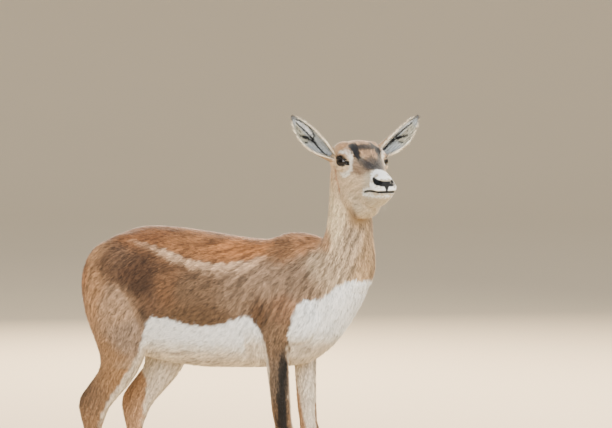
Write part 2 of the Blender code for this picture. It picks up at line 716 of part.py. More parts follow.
def wedge(planes, push=0.0):
    """The convex solid behind all the given planes, each a point and a normal, each pushed out by push."""
    shape = bmesh.new()
    bmesh.ops.create_cube(shape, size=2.4)
    for point, normal in planes:
        normal = Vector(normal).normalized()
        cutting = bmesh.ops.bisect_plane(
            shape,
            geom=[*shape.verts, *shape.edges, *shape.faces],
            plane_co=Vector(point) + normal * push,
            plane_no=normal,
            clear_outer=True,
        )
        rim = [e for e in cutting["geom_cut"] if isinstance(e, bmesh.types.BMEdge)]
        bmesh.ops.contextual_create(shape, geom=rim)
    bmesh.ops.recalc_face_normals(shape, faces=shape.faces)
    return from_bmesh("wedge", shape, Matrix.Identity(4))


def part_off(body, name, planes):
    """Parts the piece behind the planes off a body, with a gap between the two."""
    piece = bpy.data.objects.new(name, body.data.copy())
    bpy.context.scene.collection.objects.link(piece)
    cut(piece, wedge(planes), "INTERSECT")
    cut(body, wedge(planes, GAP))
    return piece


def swollen(body, by):
    """A copy of a body with each vertex moved out along its normal."""
    copy = bpy.data.objects.new("swollen", body.data.copy())
    bpy.context.scene.collection.objects.link(copy)
    mesh = copy.data
    points = np.empty(len(mesh.vertices) * 3)
    normals = np.empty(len(mesh.vertices) * 3)
    mesh.vertices.foreach_get("co", points)
    mesh.vertices.foreach_get("normal", normals)
    mesh.vertices.foreach_set("co", points + by * normals)
    mesh.update()
    return copy


def leg_planes(kind, side, shift):
    """The planes that bound a leg within the body: above, towards the middle, in front and behind."""
    bound = LEG_BOUNDS[kind]
    lean = math.radians(bound.lean)
    return [
        ((0, side * 0.10, bound.top), (0, -side * math.sin(lean), math.cos(lean))),
        ((0, side * bound.inner, 0), (0, -side, 0)),
        ((bound.front + shift, 0, 0.40), (math.cos(bound.rake), 0, math.sin(bound.rake))),
        ((bound.back, 0, 0.40), (-1, 0, 0)),
    ]


def coronet_planes(leg_name, shift):
    """What of a leg lies above its hooves."""
    foot = FEET[leg_name.rsplit("_", 1)[0]]
    rise = CLAW_TOE_HEIGHT - CLAW_HEEL_HEIGHT
    run = (CLAW_LENGTH - CLAW_SLOPE) - CLAW_HEEL_LEAN
    point = (foot.heel + shift + CLAW_HEEL_LEAN, 0, CLAW_HEEL_HEIGHT + GAP * 1.2)
    return [(point, (rise, 0, -run))]


def coated(body, kind):
    """Gives a body the plain finish of its kind."""
    material = bpy.data.materials.get(kind) or bpy.data.materials.new(kind)
    material.use_nodes = True
    finish = material.node_tree.nodes["Principled BSDF"]
    finish.inputs["Base Color"].default_value = (*COAT_COLOURS[kind], 1.0)
    finish.inputs["Roughness"].default_value = ROUGHNESS.get(kind, DULL)
    finish.inputs["Metallic"].default_value = 0.0
    body.data.materials.clear()
    body.data.materials.append(material)
    body.data.shade_smooth()
    return body


def whole_body():
    """Trunk, neck, head and legs as one smooth closed surface, coarser on the body than on the head."""
    forms = [neck_form(), head_form(), *muscle_forms()]
    for side in SIDES.values():
        ahead = side > 0
        forms.append(leg_form(FORELEG, side, LEFT_FORELEG_SHIFT * ahead, *FORELEG_SHIFTS_BETWEEN))
        forms.append(leg_form(HIND_LEG, side, LEFT_HIND_LEG_SHIFT * ahead, *HIND_LEG_SHIFTS_BETWEEN))
    body = fused(trunk_form(), forms)
    remesh = body.modifiers.new("skin", "REMESH")
    remesh.mode = "VOXEL"
    remesh.voxel_size = SKIN_VOXEL
    settled(body)
    evened(largest_only(body), ALL_ROUNDS)
    below_head = (HEAD_FROM, BODY_TO)
    evened(body, BODY_ROUNDS, lambda points: np.interp(-points[:, 2], np.negative(below_head), (0.0, 1.0)))
    lightened(body, SKIN_TRIANGLES_FIRST / len(body.data.polygons))
    lightened(body, SKIN_TRIANGLES / len(body.data.polygons), lambda p: p.z > HEAD_FROM)
    return largest_only(body)


def main():
    """Builds the whole body, parts it, adds ears, tail, eyes, claws and the face's folds, and centres it."""
    for old in list(bpy.data.objects):
        bpy.data.objects.remove(old)
    torso = whole_body()
    torso.name = "torso"
    made = []

    for word, side in SIDES.items():
        for kind, left_shift in (("foreleg", LEFT_FORELEG_SHIFT), ("hind_leg", LEFT_HIND_LEG_SHIFT)):
            name = kind + "_" + word
            shift = left_shift if side > 0 else 0.0
            leg = part_off(torso, name, leg_planes(kind, side, shift))
            cut(leg, wedge(coronet_planes(name, shift)), "INTERSECT")
            fused(leg, [dewclaw(side, name, outer, shift) for outer in (False, True)])
            made.append(coated(leg, "leg"))
            for outer in (False, True):
                hoof = claw("hoof_" + name + ("_outer" if outer else "_inner"), name, side, outer, shift)
                made.append(coated(largest_only(hoof), "hoof"))

    turn = Matrix.Rotation(HEAD_TURN, 3, "Z")
    neck = part_off(torso, "neck", [(NECK_CUT_POINT, -NECK_CUT_NORMAL)])
    head = part_off(neck, "head", [(HEAD_CUT_POINT, turn @ -HEAD_CUT_NORMAL)])
    made += [coated(torso, "torso"), coated(neck, "neck")]

    tail = cut(tail_form(), swollen(torso, GAP))
    tail.name = "tail"
    made.append(coated(tail, "tail"))

    for word, side in SIDES.items():
        ear = cut(ear_shell(word, side), swollen(head, GAP))
        made.append(coated(ear, "ear"))
    for word, side in SIDES.items():
        fused(head, [ball("lids", EYE_RADIUS + LID_THICKNESS, side)])
        cut(head, lid_opening(side))
        cut(head, ball("socket", EYE_RADIUS + GAP, side))
        eye = ball("eye_" + word, EYE_RADIUS, side)
        made.append(coated(eye, "eye"))
    path = mouth_path(head)
    fused(head, [lip(path, "upper"), lip(path, "lower")])
    cut(head, along_mouth("mouth_groove", path, MOUTH_GROOVE))
    for side in SIDES.values():
        cut(head, slit(NOSTRIL, side))
        cut(head, slit(TEAR_GLAND, side))
    made.append(coated(head, "head"))

    points = np.concatenate([np.array([v.co for v in body.data.vertices]) for body in made])
    low, high = points.min(axis=0), points.max(axis=0)
    home = Matrix.Translation((-(low[0] + high[0]) / 2, -(low[1] + high[1]) / 2, 0.0))
    for body in made:
        body.data.transform(home)


if __name__ == "__main__":
    main()
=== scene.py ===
"""A hornless blackbuck that stands with its head turned: skin, coat, ears, eyes and claws over its solids.

The frame holds the animal's solids at their real size. One skin takes the place of the solids of flesh and
lies inside them by the coat's depth; short tufts lie over it from nose to tail and bring it back out to their
size. Skin and tufts are coloured by the same functions of place, so the markings agree.
"""

import json
import math
from collections import namedtuple

import bmesh
import bpy
import numpy as np
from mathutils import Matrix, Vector

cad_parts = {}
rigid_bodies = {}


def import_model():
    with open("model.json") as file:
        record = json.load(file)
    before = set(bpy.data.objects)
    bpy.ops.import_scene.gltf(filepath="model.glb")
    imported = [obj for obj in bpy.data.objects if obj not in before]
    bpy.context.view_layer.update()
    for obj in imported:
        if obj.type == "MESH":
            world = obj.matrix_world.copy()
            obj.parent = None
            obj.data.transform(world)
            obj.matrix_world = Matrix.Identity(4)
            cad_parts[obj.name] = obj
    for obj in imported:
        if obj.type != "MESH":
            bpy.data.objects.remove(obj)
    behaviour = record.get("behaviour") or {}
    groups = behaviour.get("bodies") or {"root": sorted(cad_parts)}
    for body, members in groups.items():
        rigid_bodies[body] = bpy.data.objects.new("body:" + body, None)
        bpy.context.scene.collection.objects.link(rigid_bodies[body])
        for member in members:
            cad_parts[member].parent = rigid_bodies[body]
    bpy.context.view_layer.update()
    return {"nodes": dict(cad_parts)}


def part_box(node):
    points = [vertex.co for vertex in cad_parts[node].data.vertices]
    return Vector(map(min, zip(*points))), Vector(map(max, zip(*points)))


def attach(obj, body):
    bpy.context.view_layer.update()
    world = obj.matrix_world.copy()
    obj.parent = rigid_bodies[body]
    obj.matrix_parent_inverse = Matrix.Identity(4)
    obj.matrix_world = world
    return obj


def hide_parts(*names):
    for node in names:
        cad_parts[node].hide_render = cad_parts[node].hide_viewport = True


bl_info = {
    "name": "Hornless blackbuck",
    "version": (1, 0, 0),
    "blender": (4, 5, 0),
    "location": "3D View > Sidebar > Blackbuck",
    "description": "Skin, coat, ears, eyes and claws of a standing hornless blackbuck",
    "category": "Object",
}

for left_over in list(bpy.data.objects):
    bpy.data.objects.remove(left_over)
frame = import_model()

SIDES = {"right": -1, "left": 1}
BODY = "root"
FLESH = (
    "torso",
    "neck",
    "head",
    "tail",
    "foreleg_right",
    "foreleg_left",
    "hind_leg_right",
    "hind_leg_left",
)

# The photograph: its size and lens in pixels, and where its camera stands about the withers
PHOTO_WIDTH = 612
FOCAL_PIXELS = 3440
CAMERA_TURN = math.radians(30.0)
CAMERA_TILT = math.radians(4.0)
CAMERA_DISTANCE = 8.0
SENSOR_WIDTH = 36.0
AIM_RIGHT = 0.01395
AIM_UP = 0.0442


def middle_of(node):
    """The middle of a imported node's box."""
    low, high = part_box(node)
    return np.array((low + high) / 2)


def unit(vectors):
    """The same directions at length one."""
    return vectors / np.maximum(np.linalg.norm(vectors, axis=-1, keepdims=True), 1e-12)


# The body's middle plane, the withers above the near foreleg's heel, and the head's axes: ahead, left and up
MIDDLE_Y = middle_of("torso")[1]
HEEL_BEHIND = 0.012
WITHERS = np.array((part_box("hoof_foreleg_right_outer")[0].x + HEEL_BEHIND, MIDDLE_Y, 0.700))
EYES = {side: middle_of("eye_" + side) for side in SIDES}
EYE_RADIUS = (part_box("eye_right")[1].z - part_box("eye_right")[0].z) / 2
HEAD_LIFT = math.radians(6.0)
HEAD_LEFT = unit(EYES["left"] - EYES["right"])
LEVEL_AHEAD = np.cross(HEAD_LEFT, (0.0, 0.0, 1.0))
HEAD_AHEAD = math.cos(HEAD_LIFT) * LEVEL_AHEAD + math.sin(HEAD_LIFT) * np.array((0.0, 0.0, 1.0))
HEAD_AXES = np.stack([HEAD_AHEAD, HEAD_LEFT, np.cross(HEAD_AHEAD, HEAD_LEFT)])
EYE_AHEAD, EYE_HEIGHT = 0.002, -0.002
HEAD_ORIGIN = (EYES["right"] + EYES["left"]) / 2 - np.array((EYE_AHEAD, 0.0, EYE_HEIGHT)) @ HEAD_AXES

# Where the head begins: a plane across the top of the neck
HEAD_EDGE_POINT = WITHERS + np.array((0.137, -0.006, 0.115))
HEAD_EDGE_WAY = unit(0.78 * LEVEL_AHEAD + 0.62 * np.array((0.0, 0.0, 1.0)))

# The eye's opening between the lids, and how far each eye turns from straight aside towards the nose
EYE_TURN = math.radians(30.0)
EYE_SLANT = -0.27
EYE_RAISE = 0.10
CORNER_FROM, CORNER_REACH = 0.0115, 0.0188
CORNER_LIFT = 0.0028
LID_HALF_LENGTH = 0.0158
LID_ABOVE = 0.0075
LID_BELOW = 0.0093
LID_RISE = 0.0011
LID_REACH = 0.0045
RIM_RADIUS = 0.0013

# The mouth's line from its corner forward, and the groove below the nose, in the head's axes
MOUTH_LINE = ((0.0864, -0.0752), (0.1057, -0.0738), (0.1269, -0.0748), (0.1421, -0.0772), (0.1482, -0.0790))
MOUTH_CORNER = 0.087
PHILTRUM_TOP, PHILTRUM_LOW = -0.062, -0.0785

# An ear: its length, its arcs from root to tip, its root and its axes in the head's own
Arc = namedtuple("Arc", "radius spread thick")
EAR_LENGTH = {"right": 0.144, "left": 0.150}
EAR_BEND = 0.006
EAR_SWAY = 0.0085
EAR_ROOT = np.array((-0.072, 0.041, 0.014))
EAR_AXES = {"right": np.array((0.10, 0.80, 0.72)), "left": np.array((0.20, 0.86, 0.70))}
EAR_FACE = np.array((1.0, 0.25, -0.10))
EAR_ARCS = (
    Arc(0.0150, 168, 0.0040),
    Arc(0.0168, 146, 0.0034),
    Arc(0.0194, 114, 0.0030),
    Arc(0.0218, 97, 0.0027),
    Arc(0.0210, 84, 0.0024),
    Arc(0.0152, 74, 0.0021),
    Arc(0.0040, 66, 0.0018),
)

# How the skin is made from the solids: swelling, fineness of the mesh, smoothing and the coat's depth
SWELL = 0.0006
SKIN_VOXEL = 0.0016
SKIN_TRIANGLES = 190000
EVEN_ROUNDS = 10
BODY_ROUNDS = 10
THROAT_ROUNDS = 50
THROAT_BACK = -0.30
COAT_DEPTH = 0.105

# The coat: how a tuft's width, lift and number follow its length, and the most of them on a square metre
TUFT_WIDTH = 0.11
TUFT_LIFT = 0.15
TUFT_LAYERS = 3.0
TUFT_SINK = 0.0005
TUFT_WIDEST = 0.40
TUFT_RIDGE = 0.16
UNWRAP_PATCH = 0.003
MOST_TUFTS = {"body_coat": 400000, "leg_coat": 430000, "head_coat": 640000}

# A tuft's tones at root, flanks and tip, the undercoat's, which is painted shade between the tufts, and how
# far the tone strays in streaks and by tuft
# The darker root is partly the hair's darker base and partly painted shade among the tufts
TUFT_TONES = np.array((0.60, 0.92, 0.92, 1.18))
UNDERCOAT_SHADE_TONE = 0.80
STREAK_TONE = 0.62
STREAK_SIZE = 0.72
HEAD_STREAKS = 0.60
STREAK_CALM = 0.60
TUFT_TONE = 0.22
LEAST_TONE, MOST_TONE = 0.40, 1.9

# How named shades are deepened, red, green and blue, because the stage's strong soft light pales them again
PAINT_POWER = np.array((1.46, 1.40, 1.36))
PAINT_GAIN = 1.08


def shade(red, green, blue):
    """A colour given as a screen shows it, from 0 to 255, as the linear light that a shader reads."""
    screen = np.array((red, green, blue)) / 255.0
    return np.where(screen <= 0.04045, screen / 12.92, ((screen + 0.055) / 1.055) ** 2.4)


def smooth_step(low, high, values):
    """0 up to low, 1 from high, and between them 3 t squared less 2 t cubed."""
    t = np.clip((values - low) / (high - low), 0.0, 1.0)
    return t * t * (3.0 - 2.0 * t)


def ripple(points, size, seed, waves=12):
    """Smooth noise about zero: sine waves of about that length and random directions, over their root."""
    dice = np.random.default_rng(seed)
    ways = unit(dice.normal(size=(waves, 3))) * (2 * math.pi / size) * dice.uniform(0.6, 1.5, (waves, 1))
    return np.sin(points @ ways.T + dice.uniform(0, 2 * math.pi, waves)).sum(1) / math.sqrt(waves / 2)


def mix(first, second, share):
    """Between two colours, or arrays of them, by a share from 0 to 1."""
    return first + (second - first) * np.clip(share, 0.0, 1.0)[:, None]


def in_head(points):
    """Points of the frame in the head's own axes: ahead, left and up from between the eyes."""
    return (points - HEAD_ORIGIN) @ HEAD_AXES.T


def from_head(points):
    """Points of the head's own axes in the frame."""
    return HEAD_ORIGIN + np.asarray(points) @ HEAD_AXES


def head_share(points):
    """0 on the body, 1 on the head, and between them a few centimetres of the upper neck."""
    return smooth_step(-0.020, 0.022, (points - HEAD_EDGE_POINT) @ HEAD_EDGE_WAY)


def from_stretch(points, start, end):
    """The distance of places from a straight stretch, and how far along it, from 0 to 1, each is nearest."""
    run = end - start
    share = np.clip((points - start) @ run / (run @ run), 0.0, 1.0)
    return np.linalg.norm(points - start - share[:, None] * run, axis=1), share


def inside(points, outline, softness):
    """1 inside an outline of two-number places and 0 outside, blurred over its edge by softness."""
    corners = np.asarray(outline, float)
    ends = np.roll(corners, -1, axis=0)
    nearest = np.full(len(points), 1e9)
    crossings = np.zeros(len(points), int)
    for start, end in zip(corners, ends):
        nearest = np.minimum(nearest, from_stretch(points, start, end)[0])
        (ax, az), (bx, bz) = start, end
        spans = (az > points[:, 1]) != (bz > points[:, 1])
        where = ax + (points[:, 1] - az) * (bx - ax) / (bz - az if bz != az else 1e-12)
        crossings += spans & (points[:, 0] < where)
    signed = np.where(crossings % 2 == 1, nearest, -nearest)
    return smooth_step(-softness, softness, signed)


# Shades of the coat, each strongest about a place: how far ahead of the withers, how high, and both reaches
Patch = namedtuple("Patch", "x z along up colour")
COAT_PATCHES = (
    Patch(-0.520, 0.646, 0.030, 0.030, shade(186, 152, 118)),
    Patch(-0.400, 0.688, 0.070, 0.020, shade(158, 116, 81)),
    Patch(-0.246, 0.680, 0.080, 0.022, shade(168, 126, 88)),
    Patch(-0.130, 0.674, 0.070, 0.024, shade(185, 136, 91)),
    Patch(-0.010, 0.668, 0.035, 0.026, shade(154, 120, 89)),
    Patch(0.030, 0.682, 0.040, 0.020, shade(180, 140, 104)),
    Patch(-0.466, 0.622, 0.045, 0.032, shade(126, 100, 78)),
    Patch(-0.395, 0.600, 0.050, 0.024, shade(108, 82, 62)),
    Patch(-0.368, 0.572, 0.040, 0.028, shade(98, 75, 58)),
    Patch(-0.345, 0.536, 0.034, 0.030, shade(126, 100, 79)),
    Patch(-0.512, 0.553, 0.030, 0.060, shade(176, 143, 110)),
    Patch(-0.552, 0.580, 0.020, 0.050, shade(168, 130, 96)),
    Patch(-0.445, 0.512, 0.045, 0.040, shade(174, 148, 122)),
    Patch(-0.415, 0.450, 0.040, 0.035, shade(158, 137, 118)),
    Patch(-0.300, 0.570, 0.040, 0.040, shade(138, 107, 80)),
    Patch(-0.233, 0.565, 0.060, 0.030, shade(134, 110, 87)),
    Patch(-0.205, 0.508, 0.090, 0.022, shade(122, 98, 75)),
    Patch(-0.100, 0.550, 0.045, 0.045, shade(148, 125, 103)),
    Patch(-0.033, 0.596, 0.050, 0.035, shade(157, 134, 112)),
    Patch(0.036, 0.600, 0.035, 0.040, shade(150, 128, 107)),
    Patch(-0.060, 0.520, 0.025, 0.035, shade(118, 92, 69)),
    Patch(0.010, 0.540, 0.030, 0.030, shade(148, 118, 92)),
    Patch(0.096, 0.640, 0.040, 0.030, shade(183, 164, 140)),
    Patch(0.092, 0.690, 0.020, 0.030, shade(186, 155, 124)),
    Patch(0.160, 0.692, 0.030, 0.050, shade(176, 157, 134)),
    Patch(0.195, 0.660, 0.025, 0.060, shade(178, 153, 122)),
    Patch(0.118, 0.745, 0.030, 0.070, shade(220, 202, 172)),
    # Beneath the jaw: painted shadow of the jaw, over the throat's own darker hair
    Patch(0.174, 0.740, 0.020, 0.022, shade(160, 136, 106)),
    Patch(-0.020, 0.445, 0.040, 0.040, shade(137, 114, 92)),
    Patch(-0.030, 0.370, 0.040, 0.050, shade(130, 111, 93)),
    Patch(-0.020, 0.150, 0.050, 0.130, shade(162, 132, 102)),
    Patch(-0.487, 0.373, 0.050, 0.050, shade(163, 132, 100)),
    Patch(-0.531, 0.298, 0.040, 0.040, shade(146, 119, 93)),
    Patch(-0.530, 0.150, 0.060, 0.110, shade(158, 128, 98)),
)
PATCH_BLUR = 0.30
PATCH_POWER = -2.6
WHITE = shade(232, 233, 233)
WHITE_LOW = shade(207, 193, 173)
BAND = shade(205, 178, 150)
STRIPE = shade(38, 32, 27)
HOCK_DARK = shade(92, 68, 48)
FOLD_SHADOW = shade(84, 68, 56)
INNER_SHADE_TAN = shade(176, 142, 108)

# The pale band along the side: ahead of the withers, the height of its sharp top edge and of its soft low one
BAND_EDGES = (
    (-0.455, 0.684, 0.681),
    (-0.424, 0.674, 0.665),
    (-0.382, 0.668, 0.653),
    (-0.335, 0.657, 0.639),
    (-0.303, 0.650, 0.629),
    (-0.272, 0.641, 0.620),
    (-0.242, 0.635, 0.613),
    (-0.212, 0.632, 0.607),
    (-0.184, 0.630, 0.603),
    (-0.144, 0.632, 0.601),
    (-0.109, 0.637, 0.607),
    (-0.050, 0.650, 0.615),
)

# White of the belly and of the chest, as outlines ahead of the withers and above the ground
BELLY_OUTLINE = (
    (-0.366, 0.470),
    (-0.358, 0.490),
    (-0.340, 0.499),
    (-0.305, 0.498),
    (-0.276, 0.493),
    (-0.248, 0.487),
    (-0.220, 0.484),
    (-0.193, 0.482),
    (-0.167, 0.486),
    (-0.141, 0.492),
    (-0.116, 0.502),
    (-0.098, 0.512),
    (-0.086, 0.515),
    (-0.074, 0.506),
    (-0.064, 0.490),
    (-0.052, 0.471),
    (-0.040, 0.451),
    (-0.038, 0.300),
    (-0.240, 0.000),
    (-0.525, 0.000),
    (-0.521, 0.222),
    (-0.508, 0.257),
    (-0.495, 0.280),
    (-0.473, 0.308),
    (-0.446, 0.338),
    (-0.418, 0.371),
    (-0.401, 0.396),
    (-0.391, 0.421),
    (-0.384, 0.445),
)
CHEST_OUTLINE = (
    (0.006, 0.300),
    (0.006, 0.444),
    (0.018, 0.477),
    (0.026, 0.501),
    (0.032, 0.524),
    (0.040, 0.543),
    (0.053, 0.552),
    (0.074, 0.557),
    (0.097, 0.560),
    (0.116, 0.572),
    (0.134, 0.591),
    (0.149, 0.600),
    (0.185, 0.601),
    (0.260, 0.602),
    (0.260, 0.300),
)

# The dark stripe down the foreleg: height, the middle of its turn outward from the front, and half its spread
STRIPE_TURN = (
    (0.00, 8, 30),
    (0.10, 10, 28),
    (0.20, 26, 30),
    (0.257, 66, 40),
    (0.31, 58, 32),
    (0.375, 38, 27),
    (0.43, 32, 20),
    (0.46, 30, 10),
)

# Painted shade behind on the white inner sides of the legs, tan from the warm back light: height, and how far
# ahead of the withers it reaches
FORELEG_INNER = (
    (0.150, 0.002),
    (0.245, -0.006),
    (0.270, -0.012),
    (0.305, -0.020),
    (0.340, -0.030),
    (0.400, -0.050),
)
HIND_LEG_INNER = (
    (0.150, -0.535),
    (0.220, -0.518),
    (0.270, -0.508),
    (0.300, -0.500),
    (0.330, -0.497),
    (0.380, -0.535),
    (0.420, -0.580),
)
HIND_SHIFT = 0.050
HIND_SHIFT_FROM, HIND_SHIFT_TO = 0.545, 0.385
HIND_FROM = -0.227
FORE_FROM = -0.100


def from_withers(points):
    """Places measured from the ground below the withers: ahead, to the left of the middle plane, and up."""
    return points - (WITHERS[0], MIDDLE_Y, 0.0)


def unshifted(places):
    """The left hind leg stands further forward: its places moved back, so that marks fit both legs alike."""
    low = smooth_step(HIND_SHIFT_FROM, HIND_SHIFT_TO, places[:, 2])
    moved = places.copy()
    moved[:, 0] -= HIND_SHIFT * low * (places[:, 0] < HIND_FROM) * (places[:, 1] > 0.01)
    return moved


def table_at(table, values, column=1):
    """A column of a table drawn straight between its rows, read by the first column."""
    rows = np.array(table)
    return np.interp(values, rows[:, 0], rows[:, column])


def body_colour(points, normals):
    """The coat's colour on body, neck, legs and tail, from place and from the way that the surface faces."""
    places = unshifted(from_withers(points))
    wander = np.stack([ripple(points, 0.026, 11), ripple(points, 0.026, 12)], axis=1) * 0.0014
    side_view = places[:, [0, 2]] + wander
    x, z = side_view.T
    aside = places[:, 1]
    out = normals[:, 1] * np.sign(aside)
    away = np.stack([((x - p.x) / p.along) ** 2 + ((z - p.z) / p.up) ** 2 for p in COAT_PATCHES], axis=1)
    weights = (away + PATCH_BLUR) ** PATCH_POWER
    colour = (weights / weights.sum(1, keepdims=True)) @ np.array([p.colour for p in COAT_PATCHES])

    # The pale band, sharp along its top, ragged and fading towards its foot and lost in the shoulder
    top, low = table_at(BAND_EDGES, x), table_at(BAND_EDGES, x, 2)
    height = (z - low) / (top - low) + 0.10 * ripple(points, 0.006, 14)
    band = smooth_step(top + 0.0022, top - 0.0022, z) * smooth_step(-0.20, 0.62, height)
    band *= smooth_step(-0.452, -0.400, x) * smooth_step(-0.020, -0.115, x)
    colour = mix(colour, BAND, band * (0.42 + 0.53 * smooth_step(-0.400, -0.310, x)))

    # Painted shadow in the fold of the flank; dark hair behind the hock, with painted shade where it faces
    # back; dark down the front of the legs
    fold = np.exp(-(((x + 0.368) / 0.012) ** 2) - ((z - 0.500) / 0.018) ** 2)
    colour = mix(colour, FOLD_SHADOW, fold * 0.75)
    foreleg, hind_leg = x > FORE_FROM, x < HIND_FROM
    # Behind the hock: dark hair, darkened further as painted shade on the side that faces back.
    hock = smooth_step(0.20, -0.60, normals[:, 0]) * np.exp(-(((z - 0.295) / 0.040) ** 2)) * hind_leg
    colour = mix(colour, HOCK_DARK, hock * 0.38)
    around = np.degrees(np.arctan2(out, normals[:, 0]))
    turned = np.abs(around - table_at(STRIPE_TURN, z)) / table_at(STRIPE_TURN, z, 2)
    grizzle = np.clip(0.52 + 0.40 * ripple(points, 0.005, 13), 0.0, 1.0)
    stripe = np.maximum(smooth_step(1.15, 0.50, turned), smooth_step(1.90, 0.95, turned) * grizzle)
    colour = mix(colour, STRIPE, 0.96 * stripe * smooth_step(0.462, 0.402, z) * foreleg)
    shin = smooth_step(40, 14, np.abs(around - 24)) * smooth_step(0.235, 0.190, z) * hind_leg
    colour = mix(colour, HOCK_DARK, shin * 0.55)

    # White: chest, belly, the inner sides and rear edges of the legs, and under the tail; at the forelegs'
    # rear edges it is partly painted rim light
    edge = 0.0028
    white = np.maximum(inside(side_view, BELLY_OUTLINE, edge), inside(side_view, CHEST_OUTLINE, edge))
    armpit = 0.22 * smooth_step(0.395, 0.425, z) * foreleg
    inner = smooth_step(0.02, -0.30, out - armpit) * smooth_step(0.500, 0.470, z)
    below = smooth_step(-0.45, -0.75, normals[:, 2]) * smooth_step(0.500, 0.470, z) * (z > 0.30)
    # The forelegs' rear edge: their white hair, and painted rim light from behind.
    rear_white_and_rim_light = smooth_step(150, 168, np.abs(around)) * smooth_step(0.470, 0.440, z) * foreleg * (z > 0.20)
    rump = smooth_step(0.036, 0.024, np.abs(aside)) * smooth_step(-0.519, -0.539, x)
    rump *= smooth_step(0.61, 0.58, z)
    breast = smooth_step(0.058, 0.048, np.abs(aside)) * smooth_step(-0.028, -0.016, x)
    breast *= smooth_step(0.465, 0.445, z) * (z > 0.38)
    duller = smooth_step(0.458, 0.405, z - 0.030 * foreleg)
    whitish = mix(np.tile(WHITE, (len(z), 1)), WHITE_LOW, 0.90 * duller)
    colour = mix(colour, whitish, np.maximum.reduce([white, inner, below, rear_white_and_rim_light, rump, breast]))
    # Painted shade: white on faces turned down, low under the body, darkened towards the lower white.
    under = smooth_step(0.425, 0.390, z) * smooth_step(-0.10, -0.75, normals[:, 2]) * (z > 0.37)
    colour = mix(colour, WHITE_LOW, under * 0.7)
    # Painted shade on the inner rear of the legs: their white hair in shade, warmed by the back light.
    reach = np.where(foreleg, table_at(FORELEG_INNER, z), table_at(HIND_LEG_INNER, z))
    inner_rear_shade = smooth_step(reach + 0.005, reach - 0.005, x) * smooth_step(0.05, -0.25, out)
    inner_rear_shade *= smooth_step(0.405, 0.375, z) * (foreleg | hind_leg)
    return mix(colour, INNER_SHADE_TAN, inner_rear_shade * 0.9)


# Shades of the head
CHEEK = shade(206, 187, 160)
FOREHEAD = shade(186, 155, 123)
NAPE = shade(200, 172, 138)
CROWN_DARK = shade(58, 54, 54)
CROWN_BROWN = shade(84, 73, 67)
MIDLINE_DARK = shade(74, 69, 68)
MIDLINE_GREY = shade(102, 92, 84)
BROW_BROWN = shade(186, 156, 125)
BRIDGE = shade(146, 122, 100)
RUST = shade(172, 126, 86)
MUZZLE = shade(196, 184, 164)
NOSE_BAND = shade(249, 249, 247)
LIP_WHITE = shade(234, 236, 235)
PAD_BLACK = shade(9, 8, 8)
THROAT_TAN_AND_SHADOW = shade(170, 147, 118)
JAW = shade(196, 182, 160)
EYE_RING = shade(234, 231, 222)
RING_TAN = shade(176, 160, 138)
LASH_BLACK = shade(10, 8, 8)

